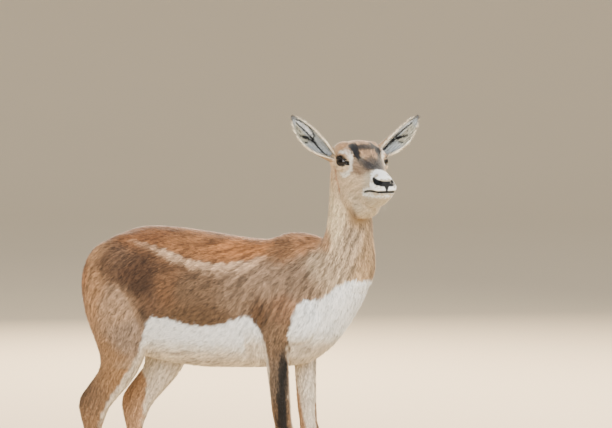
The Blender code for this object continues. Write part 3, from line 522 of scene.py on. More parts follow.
# Marks of the face in their order, on both sides: a path's numbers are ahead, aside, up and half its width
Mark = namedtuple("Mark", "colour strength soft path")
HEAD_MARKS = (
    Mark(RUST, 0.75, 0.004, (
        (-0.044, 0.049, -0.012, 0.003), (-0.041, 0.049, -0.031, 0.003), (-0.033, 0.045, -0.064, 0.002),
    )),
    Mark(FOREHEAD, 0.90, 0.008, (
        (-0.030, 0.036, 0.036, 0.010), (0.010, 0.030, 0.032, 0.010), (0.040, 0.020, 0.012, 0.010),
    )),
    Mark(BRIDGE, 0.50, 0.006, ((0.045, 0.039, -0.026, 0.004), (0.064, 0.032, -0.029, 0.004))),
    Mark(BRIDGE, 0.80, 0.010, (
        (0.046, 0.034, -0.008, 0.006), (0.057, 0.030, -0.018, 0.010), (0.069, 0.0275, -0.026, 0.010),
        (0.080, 0.025, -0.032, 0.004),
    )),
    Mark(EYE_RING, 0.90, 0.004, (
        (-0.014, 0.048, 0.022, 0.002), (0.010, 0.046, 0.020, 0.003), (0.0235, 0.040, 0.018, 0.003),
        (0.029, 0.038, 0.012, 0.003), (0.033, 0.038, 0.001, 0.003), (0.037, 0.0385, -0.008, 0.003),
        (0.038, 0.040, -0.020, 0.004), (0.030, 0.043, -0.028, 0.004), (0.014, 0.047, -0.033, 0.004),
        (-0.004, 0.0485, -0.029, 0.003), (-0.018, 0.050, -0.018, 0.002),
    )),
    Mark(RING_TAN, 0.70, 0.003, ((0.006, 0.050, -0.020, 0.002), (0.020, 0.046, -0.021, 0.002))),
    Mark(BROW_BROWN, 0.90, 0.006, (
        (0.033, 0.0, 0.024, 0.012), (0.046, 0.0, 0.013, 0.014), (0.060, 0.0, 0.002, 0.012),
    )),
    Mark(MIDLINE_GREY, 0.80, 0.007, (
        (0.066, 0.0, -0.004, 0.010), (0.076, 0.0, -0.011, 0.011), (0.094, 0.0, -0.022, 0.010),
    )),
    Mark(CROWN_BROWN, 0.92, 0.004, (
        (0.014, 0.030, 0.030, 0.007), (0.025, 0.022, 0.0275, 0.009), (0.0275, 0.012, 0.0285, 0.010),
        (0.0295, 0.000, 0.0285, 0.0105),
    )),
    Mark(MIDLINE_DARK, 0.80, 0.008, (
        (0.047, 0.025, 0.004, 0.004), (0.058, 0.0215, -0.0035, 0.005), (0.070, 0.0170, -0.0110, 0.007),
        (0.083, 0.0120, -0.0185, 0.009), (0.094, 0.0040, -0.0225, 0.008),
    )),
    Mark(CROWN_DARK, 1.00, 0.003, (
        (0.006, 0.0250, 0.0360, 0.0085), (0.020, 0.0265, 0.0290, 0.0095),
        (0.031, 0.0265, 0.0215, 0.0087), (0.0445, 0.0258, 0.0072, 0.0056),
        (0.0490, 0.0245, 0.0030, 0.0025),
    )),
    Mark(NOSE_BAND, 1.00, 0.005, (
        (0.112, 0.000, -0.030, 0.008), (0.116, 0.012, -0.033, 0.007), (0.124, 0.022, -0.046, 0.004),
    )),
    Mark(NOSE_BAND, 1.00, 0.004, (
        (0.126, 0.000, -0.036, 0.010), (0.140, 0.000, -0.044, 0.010), (0.142, 0.014, -0.046, 0.006),
    )),
    Mark(NOSE_BAND, 0.95, 0.004, (
        (0.126, 0.0270, -0.060, 0.005), (0.140, 0.0255, -0.067, 0.006), (0.149, 0.0180, -0.071, 0.006),
        (0.154, 0.0060, -0.072, 0.006),
    )),
    Mark(LIP_WHITE, 0.90, 0.003, (
        (0.084, 0.0300, -0.0720, 0.002), (0.100, 0.0294, -0.0705, 0.003),
        (0.132, 0.0270, -0.0720, 0.005),
    )),
    Mark(LIP_WHITE, 0.95, 0.003, (
        (0.083, 0.0290, -0.0795, 0.0026), (0.101, 0.0265, -0.0815, 0.0030),
        (0.122, 0.0225, -0.0832, 0.0034), (0.138, 0.0160, -0.0845, 0.0041),
        (0.146, 0.0000, -0.0850, 0.0050),
    )),
)
BROW = ((0.036, 0.0, 0.022, 0.014), (0.060, 0.0, 0.002, 0.014), (0.090, 0.0, -0.020, 0.010))
NOSE_PATHS = (
    ((0.1546, 0.0000, -0.0612, 0.0056), (0.1535, 0.0110, -0.0608, 0.0062), (0.1480, 0.0172, -0.0585, 0.0070),
     (0.1415, 0.0218, -0.0538, 0.0058), (0.1280, 0.0222, -0.0452, 0.0022)),
    ((0.1540, 0.0000, -0.0630, 0.0068), (0.1535, 0.0000, -0.0710, 0.0036), (0.1518, 0.0000, -0.0800, 0.0018)),
)


def along_path(places, path, soft):
    """1 within a path's half width on both sides of the head, falling to 0 over a softness beyond it."""
    folded = np.stack([places[:, 0], np.abs(places[:, 1]), places[:, 2]], axis=1)
    rows = np.asarray(path, float)
    beyond = np.full(len(places), 1.0)
    for start, end in zip(rows[:-1], rows[1:]):
        gap, share = from_stretch(folded, start[:3], end[:3])
        beyond = np.minimum(beyond, gap - (start[3] + share * (end[3] - start[3])))
    return smooth_step(soft, -0.3 * soft, beyond)


def wet_share(places):
    """1 on the bare black skin of the nostrils, the bar between them and the groove below."""
    return np.maximum(*[along_path(places, path, 0.0014) for path in NOSE_PATHS])


def mouth_share(places):
    """1 on the line between the lips."""
    ahead, up = places[:, 0], places[:, 2]
    line = smooth_step(0.0034, 0.0018, np.abs(up - table_at(MOUTH_LINE, ahead)))
    return line * smooth_step(MOUTH_CORNER - 0.004, MOUTH_CORNER + 0.002, ahead)


def head_colour(points):
    """The coat's colour on the head, from places in the head's own axes."""
    places = in_head(points)
    ahead, left, up = (places + 0.0010 * ripple(points, 0.010, 21)[:, None]).T
    streaky = places + 0.0016 * np.stack([ripple(points, 0.006, seed) for seed in (22, 23, 24)], axis=1)
    colour = np.tile(CHEEK, (len(points), 1))
    colour = mix(colour, NAPE, smooth_step(-0.035, -0.075, ahead))
    colour = mix(colour, FOREHEAD, smooth_step(-0.002, 0.016, up) * smooth_step(-0.05, -0.01, ahead))
    colour = mix(colour, JAW, smooth_step(-0.060, -0.085, up) * smooth_step(0.000, 0.030, ahead))
    # Painted shadow under the jaw, over the throat's own darker tan hair.
    colour = mix(colour, THROAT_TAN_AND_SHADOW, smooth_step(-0.096, -0.118, up) * smooth_step(0.030, 0.000, ahead))
    colour = mix(colour, MUZZLE, smooth_step(0.070, 0.105, ahead) * smooth_step(-0.020, -0.035, up))
    bridge = smooth_step(0.028, 0.016, np.abs(left)) * smooth_step(0.050, 0.065, ahead)
    bridge = bridge * smooth_step(0.104, 0.092, ahead) * smooth_step(-0.052, -0.036, up)
    colour = mix(colour, BRIDGE, bridge)
    for mark in HEAD_MARKS:
        colour = mix(colour, mark.colour, mark.strength * along_path(streaky, mark.path, mark.soft))
    brow = along_path(places, BROW, 0.008) * smooth_step(0.3, 1.4, ripple(points, 0.0045, 25, 30))
    colour = mix(colour, CROWN_BROWN, brow * 0.6)
    for side in SIDES:
        margin, reach = lid_margin(points, side)
        above = smooth_step(-0.001, 0.003, (points - EYES[side]) @ eye_axes(side)[1])
        close = smooth_step(0.0012, 0.0000, margin - 0.0012 - 0.0018 * above) * (reach < EYE_RADIUS * 1.5)
        colour = mix(colour, LASH_BLACK, np.maximum(close, corner_share(points, side)))
    colour = mix(colour, LASH_BLACK, mouth_share(places) * 0.97)
    return mix(colour, PAD_BLACK, wet_share(places))


def corner_share(points, side):
    """1 on the dark wedge that runs forward and down from an eye's front corner."""
    offset = (points - EYES[side]) @ eye_axes(side).T
    ahead = (offset[:, 0] - CORNER_FROM) / CORNER_REACH
    wide = np.interp(ahead, (0.0, 0.5, 1.0), (0.0070, 0.0048, 0.0014))
    beside = np.abs(offset[:, 1] - CORNER_LIFT * ahead)
    share = smooth_step(wide + 0.0008, wide - 0.0004, beside) * (ahead > 0) * (ahead < 1.0)
    return share * (offset[:, 2] > 0.0)


def coat_colour(points, normals):
    """The coat's colour anywhere on the skin, deepened because strong soft light pales it again."""
    seen = mix(body_colour(points, normals), head_colour(points), head_share(points))
    return deepened(seen)


def deepened(colour):
    """The shade to paint so that the colour looks as given under the stage's strong light."""
    return PAINT_GAIN * np.clip(colour, 0.0, 1.0) ** PAINT_POWER


# How the coat lies: at named places the way that hair points and its length; the head's are in its own axes
Guide = namedtuple("Guide", "at way length")
BODY_GUIDES = (
    Guide((-0.532, 0.020, 0.655), (-0.60, 0.10, -0.80), 0.013),
    Guide((-0.447, 0.025, 0.700), (-1.00, 0.10, -0.20), 0.013),
    Guide((-0.247, 0.000, 0.685), (-1.00, 0.08, -0.06), 0.013),
    Guide((-0.007, 0.000, 0.700), (-1.00, 0.15, -0.10), 0.014),
    Guide((0.068, 0.000, 0.710), (-0.70, 0.10, -0.70), 0.013),
    Guide((-0.247, 0.080, 0.630), (-0.88, 0.20, -0.50), 0.013),
    Guide((-0.247, 0.095, 0.550), (-0.74, 0.00, -0.68), 0.014),
    Guide((-0.247, 0.090, 0.480), (-0.85, 0.00, -0.50), 0.014),
    Guide((-0.247, 0.060, 0.430), (-0.92, 0.00, -0.35), 0.014),
    Guide((-0.247, 0.020, 0.390), (-1.00, 0.00, -0.10), 0.016),
    Guide((-0.427, 0.085, 0.600), (-0.70, 0.00, -0.72), 0.013),
    Guide((-0.467, 0.075, 0.470), (-0.40, 0.00, -0.90), 0.012),
    Guide((-0.547, 0.050, 0.540), (-0.15, 0.00, -1.00), 0.013),
    Guide((-0.037, 0.085, 0.620), (-0.70, 0.10, -0.70), 0.013),
    Guide((-0.027, 0.085, 0.540), (-0.45, 0.00, -0.90), 0.012),
    Guide((0.083, 0.050, 0.620), (-0.50, 0.00, -0.87), 0.013),
    Guide((0.113, 0.035, 0.700), (-0.12, 0.00, -1.00), 0.013),
    Guide((0.133, 0.030, 0.790), (0.05, 0.00, -1.00), 0.012),
    Guide((0.103, 0.040, 0.540), (-0.30, 0.00, -1.00), 0.014),
    Guide((0.163, 0.000, 0.600), (-0.25, 0.00, -1.00), 0.015),
    Guide((0.033, 0.000, 0.430), (-0.75, 0.00, -0.50), 0.015),
    Guide((-0.017, 0.060, 0.400), (-0.10, 0.00, -1.00), 0.009),
    Guide((-0.017, 0.060, 0.250), (0.00, 0.00, -1.00), 0.007),
    Guide((-0.017, 0.060, 0.080), (0.00, 0.00, -1.00), 0.006),
    Guide((-0.447, 0.060, 0.370), (-0.45, 0.00, -0.90), 0.010),
    Guide((-0.537, 0.060, 0.270), (-0.35, 0.00, -0.95), 0.008),
    Guide((-0.537, 0.060, 0.150), (0.05, 0.00, -1.00), 0.007),
    Guide((-0.517, 0.060, 0.060), (0.20, 0.00, -1.00), 0.006),
)
HEAD_GUIDES = (
    Guide((0.150, 0.000, -0.058), (-0.60, 0.00, 0.80), 0.0024),
    Guide((0.145, 0.020, -0.058), (-0.80, 0.30, 0.30), 0.0024),
    Guide((0.140, 0.000, -0.040), (-1.00, 0.00, 0.35), 0.0038),
    Guide((0.100, 0.000, -0.018), (-1.00, 0.00, 0.25), 0.0055),
    Guide((0.050, 0.000, 0.012), (-0.90, 0.00, 0.35), 0.0080),
    Guide((0.000, 0.000, 0.036), (-1.00, 0.10, 0.00), 0.0095),
    Guide((-0.060, 0.000, 0.010), (-0.50, 0.00, -0.90), 0.0120),
    Guide((-0.030, 0.055, -0.005), (-0.80, 0.15, -0.55), 0.0090),
    Guide((0.020, 0.050, -0.045), (-0.95, 0.05, -0.35), 0.0085),
    Guide((0.100, 0.028, -0.045), (-1.00, 0.25, 0.00), 0.0055),
    Guide((0.150, 0.012, -0.070), (-0.30, 0.95, -0.10), 0.0024),
    Guide((0.130, 0.026, -0.074), (-1.00, 0.10, -0.10), 0.0028),
    Guide((0.130, 0.018, -0.086), (-1.00, 0.10, -0.20), 0.0034),
    Guide((0.120, 0.010, -0.100), (-1.00, 0.20, 0.00), 0.0050),
    Guide((0.040, 0.020, -0.100), (-1.00, 0.10, -0.25), 0.0100),
    Guide((-0.020, 0.030, -0.090), (-0.60, 0.00, -0.90), 0.0120),
)
TAIL_LENGTH = 0.022
TAIL_REACH = 0.035
ROWS_AT_ONCE = 20000


def on_tail(points, reach):
    """True inside the tail's box, up to a reach ahead of its rear."""
    low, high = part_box("tail")
    within = ((points > np.array(low)) & (points < np.array(high))).all(1)
    return within & (points[:, 0] < low.x + reach)


def guide_table():
    """Every guide on both sides of the body, in the frame: places, ways and lengths as arrays."""
    places, ways, lengths = [], [], []
    for side in SIDES.values():
        flip = np.array((1.0, side, 1.0))
        for guide in BODY_GUIDES:
            places.append(np.array(guide.at) * flip + (WITHERS[0], MIDDLE_Y, 0.0))
            ways.append(np.array(guide.way) * flip)
            lengths.append(guide.length)
        for guide in HEAD_GUIDES:
            places.append(from_head(np.array(guide.at) * flip))
            ways.append((np.array(guide.way) * flip) @ HEAD_AXES)
            lengths.append(guide.length)
    return np.array(places), unit(np.array(ways)), np.array(lengths)


def lie_of_coat(points, normals):
    """The way that hair lies and its length: guides weighed by nearness to the fourth power."""
    places, ways, lengths = guide_table()
    way = np.empty_like(points)
    length = np.empty(len(points))
    for start in range(0, len(points), ROWS_AT_ONCE):
        rows = slice(start, start + ROWS_AT_ONCE)
        far = ((points[rows, None, :] - places) ** 2).sum(2)
        weights = 1.0 / (far + 0.010**2) ** 2
        weights /= weights.sum(1, keepdims=True)
        way[rows] = weights @ ways
        length[rows] = weights @ lengths
    tail = on_tail(points, TAIL_REACH)
    way[tail] = (0.0, 0.0, -1.0)
    length[tail] = TAIL_LENGTH
    way -= normals * (way * normals).sum(1, keepdims=True)
    return unit(way), length


def put_mesh(name, points, faces):
    """An object at the origin with these vertices and triangles, shaded smooth."""
    mesh = bpy.data.meshes.new(name)
    mesh.vertices.add(len(points))
    mesh.vertices.foreach_set("co", np.asarray(points, np.float32).ravel())
    mesh.loops.add(len(faces) * 3)
    mesh.loops.foreach_set("vertex_index", np.asarray(faces, np.int32).ravel())
    mesh.polygons.add(len(faces))
    mesh.polygons.foreach_set("loop_start", np.arange(0, len(faces) * 3, 3, dtype=np.int32))
    mesh.update(calc_edges=True)
    mesh.validate()
    mesh.shade_smooth()
    made = bpy.data.objects.new(name, mesh)
    bpy.context.scene.collection.objects.link(made)
    return made


def paint(piece, name, values):
    """Stores a number or a colour at each vertex of a piece."""
    if values.ndim == 2:
        layer = piece.data.color_attributes.new(name, "FLOAT_COLOR", "POINT")
        padded = np.concatenate([values, np.ones((len(values), 1))], axis=1)
        layer.data.foreach_set("color", padded.astype(np.float32).ravel())
    else:
        layer = piece.data.attributes.new(name, "FLOAT", "POINT")
        layer.data.foreach_set("value", values.astype(np.float32))


def mesh_points(mesh):
    """The vertices' places as rows of three numbers."""
    rows = np.empty(len(mesh.vertices) * 3, np.float32)
    mesh.vertices.foreach_get("co", rows)
    return rows.reshape(-1, 3).astype(float)


def mesh_normals(mesh):
    """The vertices' normals as rows of three numbers."""
    rows = np.empty(len(mesh.vertices) * 3, np.float32)
    mesh.vertex_normals.foreach_get("vector", rows)
    return rows.reshape(-1, 3).astype(float)


def mesh_triangles(mesh):
    """The triangles' corners as rows of three vertex numbers."""
    mesh.calc_loop_triangles()
    rows = np.empty(len(mesh.loop_triangles) * 3, np.int32)
    mesh.loop_triangles.foreach_get("vertices", rows)
    return rows.reshape(-1, 3)


def place_points(mesh, points):
    """Moves the vertices to these places."""
    mesh.vertices.foreach_set("co", points.astype(np.float32).ravel())
    mesh.update()


def tube_faces(rows, around):
    """Triangles of a grid whose rows close round: they face out where rows run counter-clockwise and rise."""
    r, k = np.meshgrid(np.arange(rows - 1), np.arange(around), indexing="ij")
    a = r * around + k
    b = r * around + (k + 1) % around
    lower = np.stack([a, b, b + around], axis=-1).reshape(-1, 3)
    upper = np.stack([a, b + around, a + around], axis=-1).reshape(-1, 3)
    return np.concatenate([lower, upper])


def turned_right(piece):
    """Turns all faces of a closed piece outwards."""
    shape = bmesh.new()
    shape.from_mesh(piece.data)
    bmesh.ops.recalc_face_normals(shape, faces=shape.faces)
    shape.to_mesh(piece.data)
    shape.free()


def lathe_piece(name, grid):
    """A closed piece from rows of points that close round; each end is fanned to its own middle."""
    rows, around, _ = grid.shape
    points = np.concatenate([grid.reshape(-1, 3), grid[:1].mean(1), grid[-1:].mean(1)])
    k = np.arange(around)
    last = (rows - 1) * around
    start_cap = np.stack([(k + 1) % around, k, np.full(around, rows * around)], axis=1)
    end_cap = np.stack([last + k, last + (k + 1) % around, np.full(around, rows * around + 1)], axis=1)
    piece = put_mesh(name, points, np.concatenate([tube_faces(rows, around), start_cap, end_cap]))
    turned_right(piece)
    return piece


def dress(piece, material, slot, *nodes):
    """Gives a finished piece its material, sets it on the body and lets it stand for its nodes; the slot is
    not used.
    """
    piece.data.materials.clear()
    piece.data.materials.append(material)
    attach(piece, BODY)
    if nodes:
        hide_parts(*nodes)


class Number:
    """A number inside a material, so that its sums are written as Python expressions."""

    def __init__(self, finish, socket):
        self.finish = finish
        self.socket = socket

    def sum_with(self, operation, *others):
        """Adds one Math node and gives back its result."""
        inputs = dict(enumerate(others))
        return self.finish.node("ShaderNodeMath", {"operation": operation}, inputs)

    def __add__(self, other):
        return self.sum_with("ADD", self, other)

    def __sub__(self, other):
        return self.sum_with("SUBTRACT", self, other)

    def __rsub__(self, other):
        return self.sum_with("SUBTRACT", other, self)

    def __mul__(self, other):
        return self.sum_with("MULTIPLY", self, other)

    __radd__ = __add__
    __rmul__ = __mul__


class Finish:
    """A material in the making: one Principled shader, one method that adds any node, and its sockets."""

    def __init__(self, name, **constants):
        self.material = bpy.data.materials.new(name)
        self.material.use_nodes = True
        self.tree = self.material.node_tree
        self.shader = self.tree.nodes["Principled BSDF"]
        for socket, value in constants.items():
            self.shader.inputs[socket.replace("_", " ")].default_value = value

    def node(self, kind, settings, inputs, output=0):
        """Adds a node: its settings first, then a value or link for each socket; gives back one output."""
        made = self.tree.nodes.new(kind)
        for name, value in settings.items():
            setattr(made, name, value)
        for socket, value in inputs.items():
            if isinstance(value, Number):
                self.tree.links.new(value.socket, made.inputs[socket])
            else:
                made.inputs[socket].default_value = value
        return Number(self, made.outputs[output])

    def drive(self, socket, value):
        """Links a result to one of the shader's sockets."""
        self.tree.links.new(value.socket, self.shader.inputs[socket])

    def stored(self, name, output):
        """A colour or a number stored at the vertices."""
        return self.node("ShaderNodeAttribute", {"attribute_name": name}, {}, output)

    def grain(self, scale, detail=3.0, stretch=(1.0, 1.0, 1.0)):
        """Noise from 0 to 1 in the piece's own metres; stretch above one makes it finer along that axis."""
        place = self.node("ShaderNodeTexCoord", {}, {}, "Object")
        place = self.node("ShaderNodeMapping", {}, {"Vector": place, "Scale": stretch})
        return self.node("ShaderNodeTexNoise", {}, {"Vector": place, "Scale": scale, "Detail": detail}, "Fac")

    def tinted(self, colour, factor):
        """A colour made lighter or darker by a number about one."""
        inputs = {0: colour, "Scale": factor}
        return self.node("ShaderNodeVectorMath", {"operation": "SCALE"}, inputs, "Vector")

    def bump(self, height, distance, strength=1.0):
        """Feeds the shader's normal from a height."""
        inputs = {"Height": height, "Distance": distance, "Strength": strength}
        self.drive("Normal", self.node("ShaderNodeBump", {}, inputs, "Normal"))


def skin_finish():
    """Undercoat and bare skin: the stored colour mottled, the nose wet and pebbled, the rest dull."""
    made = Finish("undercoat", Specular_IOR_Level=0.22)
    wet = made.stored("wet", "Fac")
    fine = made.grain(900.0)
    broad = made.grain(60.0)
    made.drive("Base Color", made.tinted(made.stored("coat", "Color"), fine * 0.35 + broad * 0.20 + 0.72))
    made.drive("Roughness", 0.82 - wet * 0.50 + fine * 0.10)
    pebble_place = made.node("ShaderNodeTexCoord", {}, {}, "Object")
    pebbles = made.node("ShaderNodeTexVoronoi", {}, {"Vector": pebble_place, "Scale": 700.0}, "Distance")
    made.bump(fine * (1.0 - wet) + pebbles * wet, 0.0006, 0.7)
    return made.material


def coat_finish(name, roughness, sheen):
    """Hair: the stored colour of each tuft with a fine streaky grain along it."""
    made = Finish(name, Specular_IOR_Level=0.30, Sheen_Weight=sheen, Sheen_Roughness=0.45)
    grain = made.grain(1500.0, 2.0, (0.35, 0.35, 1.0))
    made.drive("Base Color", made.tinted(made.stored("coat", "Color"), grain * 0.30 + 0.85))
    made.drive("Roughness", grain * 0.15 + roughness)
    made.bump(grain, 0.0003, 0.4)
    return made.material


def eye_finish():
    """The eyeball: stored iris colours under a clear wet cornea."""
    made = Finish("eyeball", Coat_Weight=0.90, Coat_Roughness=0.05, Coat_IOR=1.40, Specular_IOR_Level=0.0)
    made.drive("Base Color", made.tinted(made.stored("coat", "Color"), made.grain(1800.0) * 0.5 + 0.75))
    made.drive("Roughness", made.grain(700.0) * 0.10 + 0.10)
    return made.material


def rim_finish():
    """The lids' bare dark edge, moist and finely creased."""
    made = Finish("lid_edge", Specular_IOR_Level=0.5)
    grain = made.grain(1400.0)
    made.drive("Base Color", made.tinted(made.stored("coat", "Color"), grain * 0.6 + 0.7))
    made.drive("Roughness", grain * 0.2 + 0.28)
    made.bump(grain, 0.0003, 0.5)
    return made.material


def claw_finish():
    """Horn of the claws: stored growth bands, streaks down the wall and worn spots."""
    made = Finish("claw_horn", Specular_IOR_Level=0.45)
    wall = made.grain(700.0, 4.0, (1.0, 1.0, 0.12))
    wear = made.grain(240.0, 5.0)
    made.drive("Base Color", made.tinted(made.stored("coat", "Color"), wall * 0.8 + wear * 0.3 + 0.45))
    made.drive("Roughness", wear * 0.30 + 0.34)
    made.bump(wall * 0.6 + wear * 0.4, 0.0007, 0.6)
    return made.material


def evened(points, edges, rounds, share=None, back=-0.53):
    """Smooths without shrinking: a step towards the mean of the neighbours, then a longer one back."""
    count = len(points)
    shares = 1.0 if share is None else share[:, None]
    near = np.bincount(edges.ravel(), minlength=count)[:, None]
    for step in (0.50, back) * rounds:
        sums = np.empty_like(points)
        for axis in range(3):
            sums[:, axis] = np.bincount(edges[:, 0], points[edges[:, 1], axis], count)
            sums[:, axis] += np.bincount(edges[:, 1], points[edges[:, 0], axis], count)
        points = points + step * shares * (sums / near - points)
    return points


def mesh_edges(mesh):
    """The edges' ends as rows of two vertex numbers."""
    rows = np.empty(len(mesh.edges) * 2, np.int32)
    mesh.edges.foreach_get("vertices", rows)
    return rows.reshape(-1, 2)


def changed_by(piece, kind, settings):
    """Puts the result of one modifier in place of a piece's mesh."""
    modifier = piece.modifiers.new(kind.title(), kind)
    for name, value in settings.items():
        setattr(modifier, name, value)
    result = bpy.data.meshes.new_from_object(piece.evaluated_get(bpy.context.evaluated_depsgraph_get()))
    piece.modifiers.clear()
    piece.data = result


def joined_flesh():
    """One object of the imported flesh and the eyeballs, each a little swollen so that they meet."""
    whole = bmesh.new()
    for node in FLESH + ("eye_right", "eye_left"):
        mesh = frame["nodes"][node].data.copy()
        shape = bmesh.new()
        shape.from_mesh(mesh)
        bmesh.ops.remove_doubles(shape, verts=shape.verts, dist=0.00001)
        shape.to_mesh(mesh)
        shape.free()
        place_points(mesh, mesh_points(mesh) + SWELL * mesh_normals(mesh))
        whole.from_mesh(mesh)
        bpy.data.meshes.remove(mesh)
    joined = bpy.data.meshes.new("skin")
    whole.to_mesh(joined)
    whole.free()
    skin = bpy.data.objects.new("skin", joined)
    bpy.context.scene.collection.objects.link(skin)
    return skin


def eye_axes(side):
    """An eye's own axes in the frame: towards the nose, up across the lids, and out along its gaze."""
    gaze = unit(np.array((math.sin(EYE_TURN), SIDES[side] * math.cos(EYE_TURN), EYE_RAISE)))
    ahead = np.array((1.0, 0.0, EYE_SLANT))
    ahead = unit(ahead - gaze * (ahead @ gaze))
    up = np.cross(gaze, ahead) * -SIDES[side]
    return np.stack([ahead, up, gaze]) @ HEAD_AXES


def lid_margin(points, side):
    """How far places lie outside the almond between the lids: below 0 within it, 1 on the ball's back."""
    offset = (points - EYES[side]) @ eye_axes(side).T
    reach = np.maximum(np.linalg.norm(offset, axis=1), 1e-9)
    ahead, up = offset[:, 0] / reach * EYE_RADIUS, offset[:, 1] / reach * EYE_RADIUS
    bow = np.clip(1.0 - (ahead / LID_HALF_LENGTH) ** 2, 0.0, 1.0) ** 0.75
    margin = np.abs(up) - np.where(up > 0, LID_ABOVE, LID_BELOW) * bow
    past = np.abs(ahead) - LID_HALF_LENGTH
    margin = np.where(past > 0, np.hypot(past, up), margin)
    return np.where(offset[:, 2] > 0.1 * reach, margin, 1.0), reach


def eye_margin(points):
    """How far places lie outside the almond of the nearer eye."""
    return np.minimum(*[lid_margin(points, side)[0] for side in SIDES])


def with_lids(points):
    """The skin round each eye: below the eyeball within the almond, a thin lid over it at the edge."""
    for side in SIDES:
        margin, reach = lid_margin(points, side)
        near = reach < EYE_RADIUS * 1.6
        lid = EYE_RADIUS + LID_RISE
        edge = smooth_step(0.0, LID_REACH, margin)
        wanted = np.where(margin < 0, EYE_RADIUS - 0.0040, lid + edge * (np.maximum(reach, lid) - lid))
        wanted = np.where(near & (margin < LID_REACH), wanted, reach)
        points = EYES[side] + (points - EYES[side]) * (wanted / reach)[:, None]
    return points


def with_face_folds(points, normals):
    """Shallow folds of the head: the line of the lips, the groove below the nose and one round each eye."""
    places = in_head(points)
    depth = 0.0016 * mouth_share(places)
    groove = smooth_step(0.0024, 0.0, np.abs(places[:, 1])) * smooth_step(0.134, 0.140, places[:, 0])
    groove *= smooth_step(PHILTRUM_TOP + 0.003, PHILTRUM_TOP - 0.001, places[:, 2])
    depth += 0.0012 * groove * smooth_step(PHILTRUM_LOW - 0.001, PHILTRUM_LOW + 0.002, places[:, 2])
    for side in SIDES:
        margin, reach = lid_margin(points, side)
        offset = (points - EYES[side]) @ eye_axes(side)[1]
        fold = smooth_step(0.0016, 0.0, np.abs(margin - 0.0052)) * (reach < EYE_RADIUS * 1.5)
        depth += 0.0007 * fold * smooth_step(0.0, 0.004, offset)
        depth += 0.0005 * fold * smooth_step(0.0, -0.004, offset)
    return points - normals * depth[:, None]


def build_skin(settings):
    """One skin for all the flesh: remeshed as a whole, smoothed, thinned off the head, folded and inset."""
    skin = joined_flesh()
    changed_by(skin, "REMESH", {"mode": "VOXEL", "voxel_size": SKIN_VOXEL})
    points = mesh_points(skin.data)
    place_points(skin.data, evened(points, mesh_edges(skin.data), EVEN_ROUNDS))
    body = np.nonzero(head_share(points) < 0.5)[0]
    skin.vertex_groups.new(name="body").add(body.tolist(), 1.0, "REPLACE")
    share = SKIN_TRIANGLES / (2 * len(skin.data.polygons))
    if share < 1:
        changed_by(skin, "DECIMATE", {"ratio": share, "vertex_group": "body", "vertex_group_factor": 1.0})
    skin.vertex_groups.clear()

    points = mesh_points(skin.data)
    on_body = 1.0 - head_share(points)
    points = evened(points, mesh_edges(skin.data), BODY_ROUNDS, on_body)
    ahead, _, up = in_head(points).T
    throat = smooth_step(0.080, 0.035, ahead) * smooth_step(-0.035, -0.065, up)
    throat *= smooth_step(-0.26, -0.20, up)
    points = with_lids(evened(points, mesh_edges(skin.data), THROAT_ROUNDS, throat, THROAT_BACK))
    place_points(skin.data, points)
    normals = mesh_normals(skin.data)
    points = with_face_folds(points, normals)
    length = lie_of_coat(points, normals)[1]
    depth = settings.coat_depth * length * smooth_step(0.0, 0.006, eye_margin(points))
    points -= normals * depth[:, None]
    place_points(skin.data, points)
    skin.data.shade_smooth()

    normals = mesh_normals(skin.data)
    places = in_head(points)
    on_head = head_share(points)
    # The undercoat is painted darker than the coat: painted shade between the tufts.
    paint(skin, "coat", coat_colour(points, normals) * UNDERCOAT_SHADE_TONE)
    paint(skin, "wet", wet_share(places) * on_head)
    dress(skin, skin_finish(), "body_coat", *FLESH)


def walk_order(points, cell=0.004):
    """An order that keeps near places near: their cells' numbers on three axes with bits interleaved."""
    cells = ((points - points.min(0)) / cell).astype(np.int64)
    code = np.zeros(len(points), np.int64)
    for bit in range(9):
        for axis in range(3):
            code |= ((cells[:, axis] >> bit) & 1) << (3 * bit + axis)
    return np.argsort(code, kind="stable")


def scattered(corners, crowd, dice):
    """Evenly strewn places on triangles: even steps along the summed count, each at a random spot."""
    area = np.linalg.norm(np.cross(corners[:, 1] - corners[:, 0], corners[:, 2] - corners[:, 0]), axis=1) / 2
    order = walk_order(corners.mean(1))
    total = np.cumsum((area * crowd)[order])
    count = int(total[-1])
    steps = (np.arange(count) + dice.random(count)) * (total[-1] / count)
    which = order[np.minimum(np.searchsorted(total, steps), len(order) - 1)]
    first, second = dice.random((2, count))
    folded = first + second > 1
    first, second = np.where(folded, 1 - first, first), np.where(folded, 1 - second, second)
    return which, np.stack([1 - first - second, first, second], axis=1)


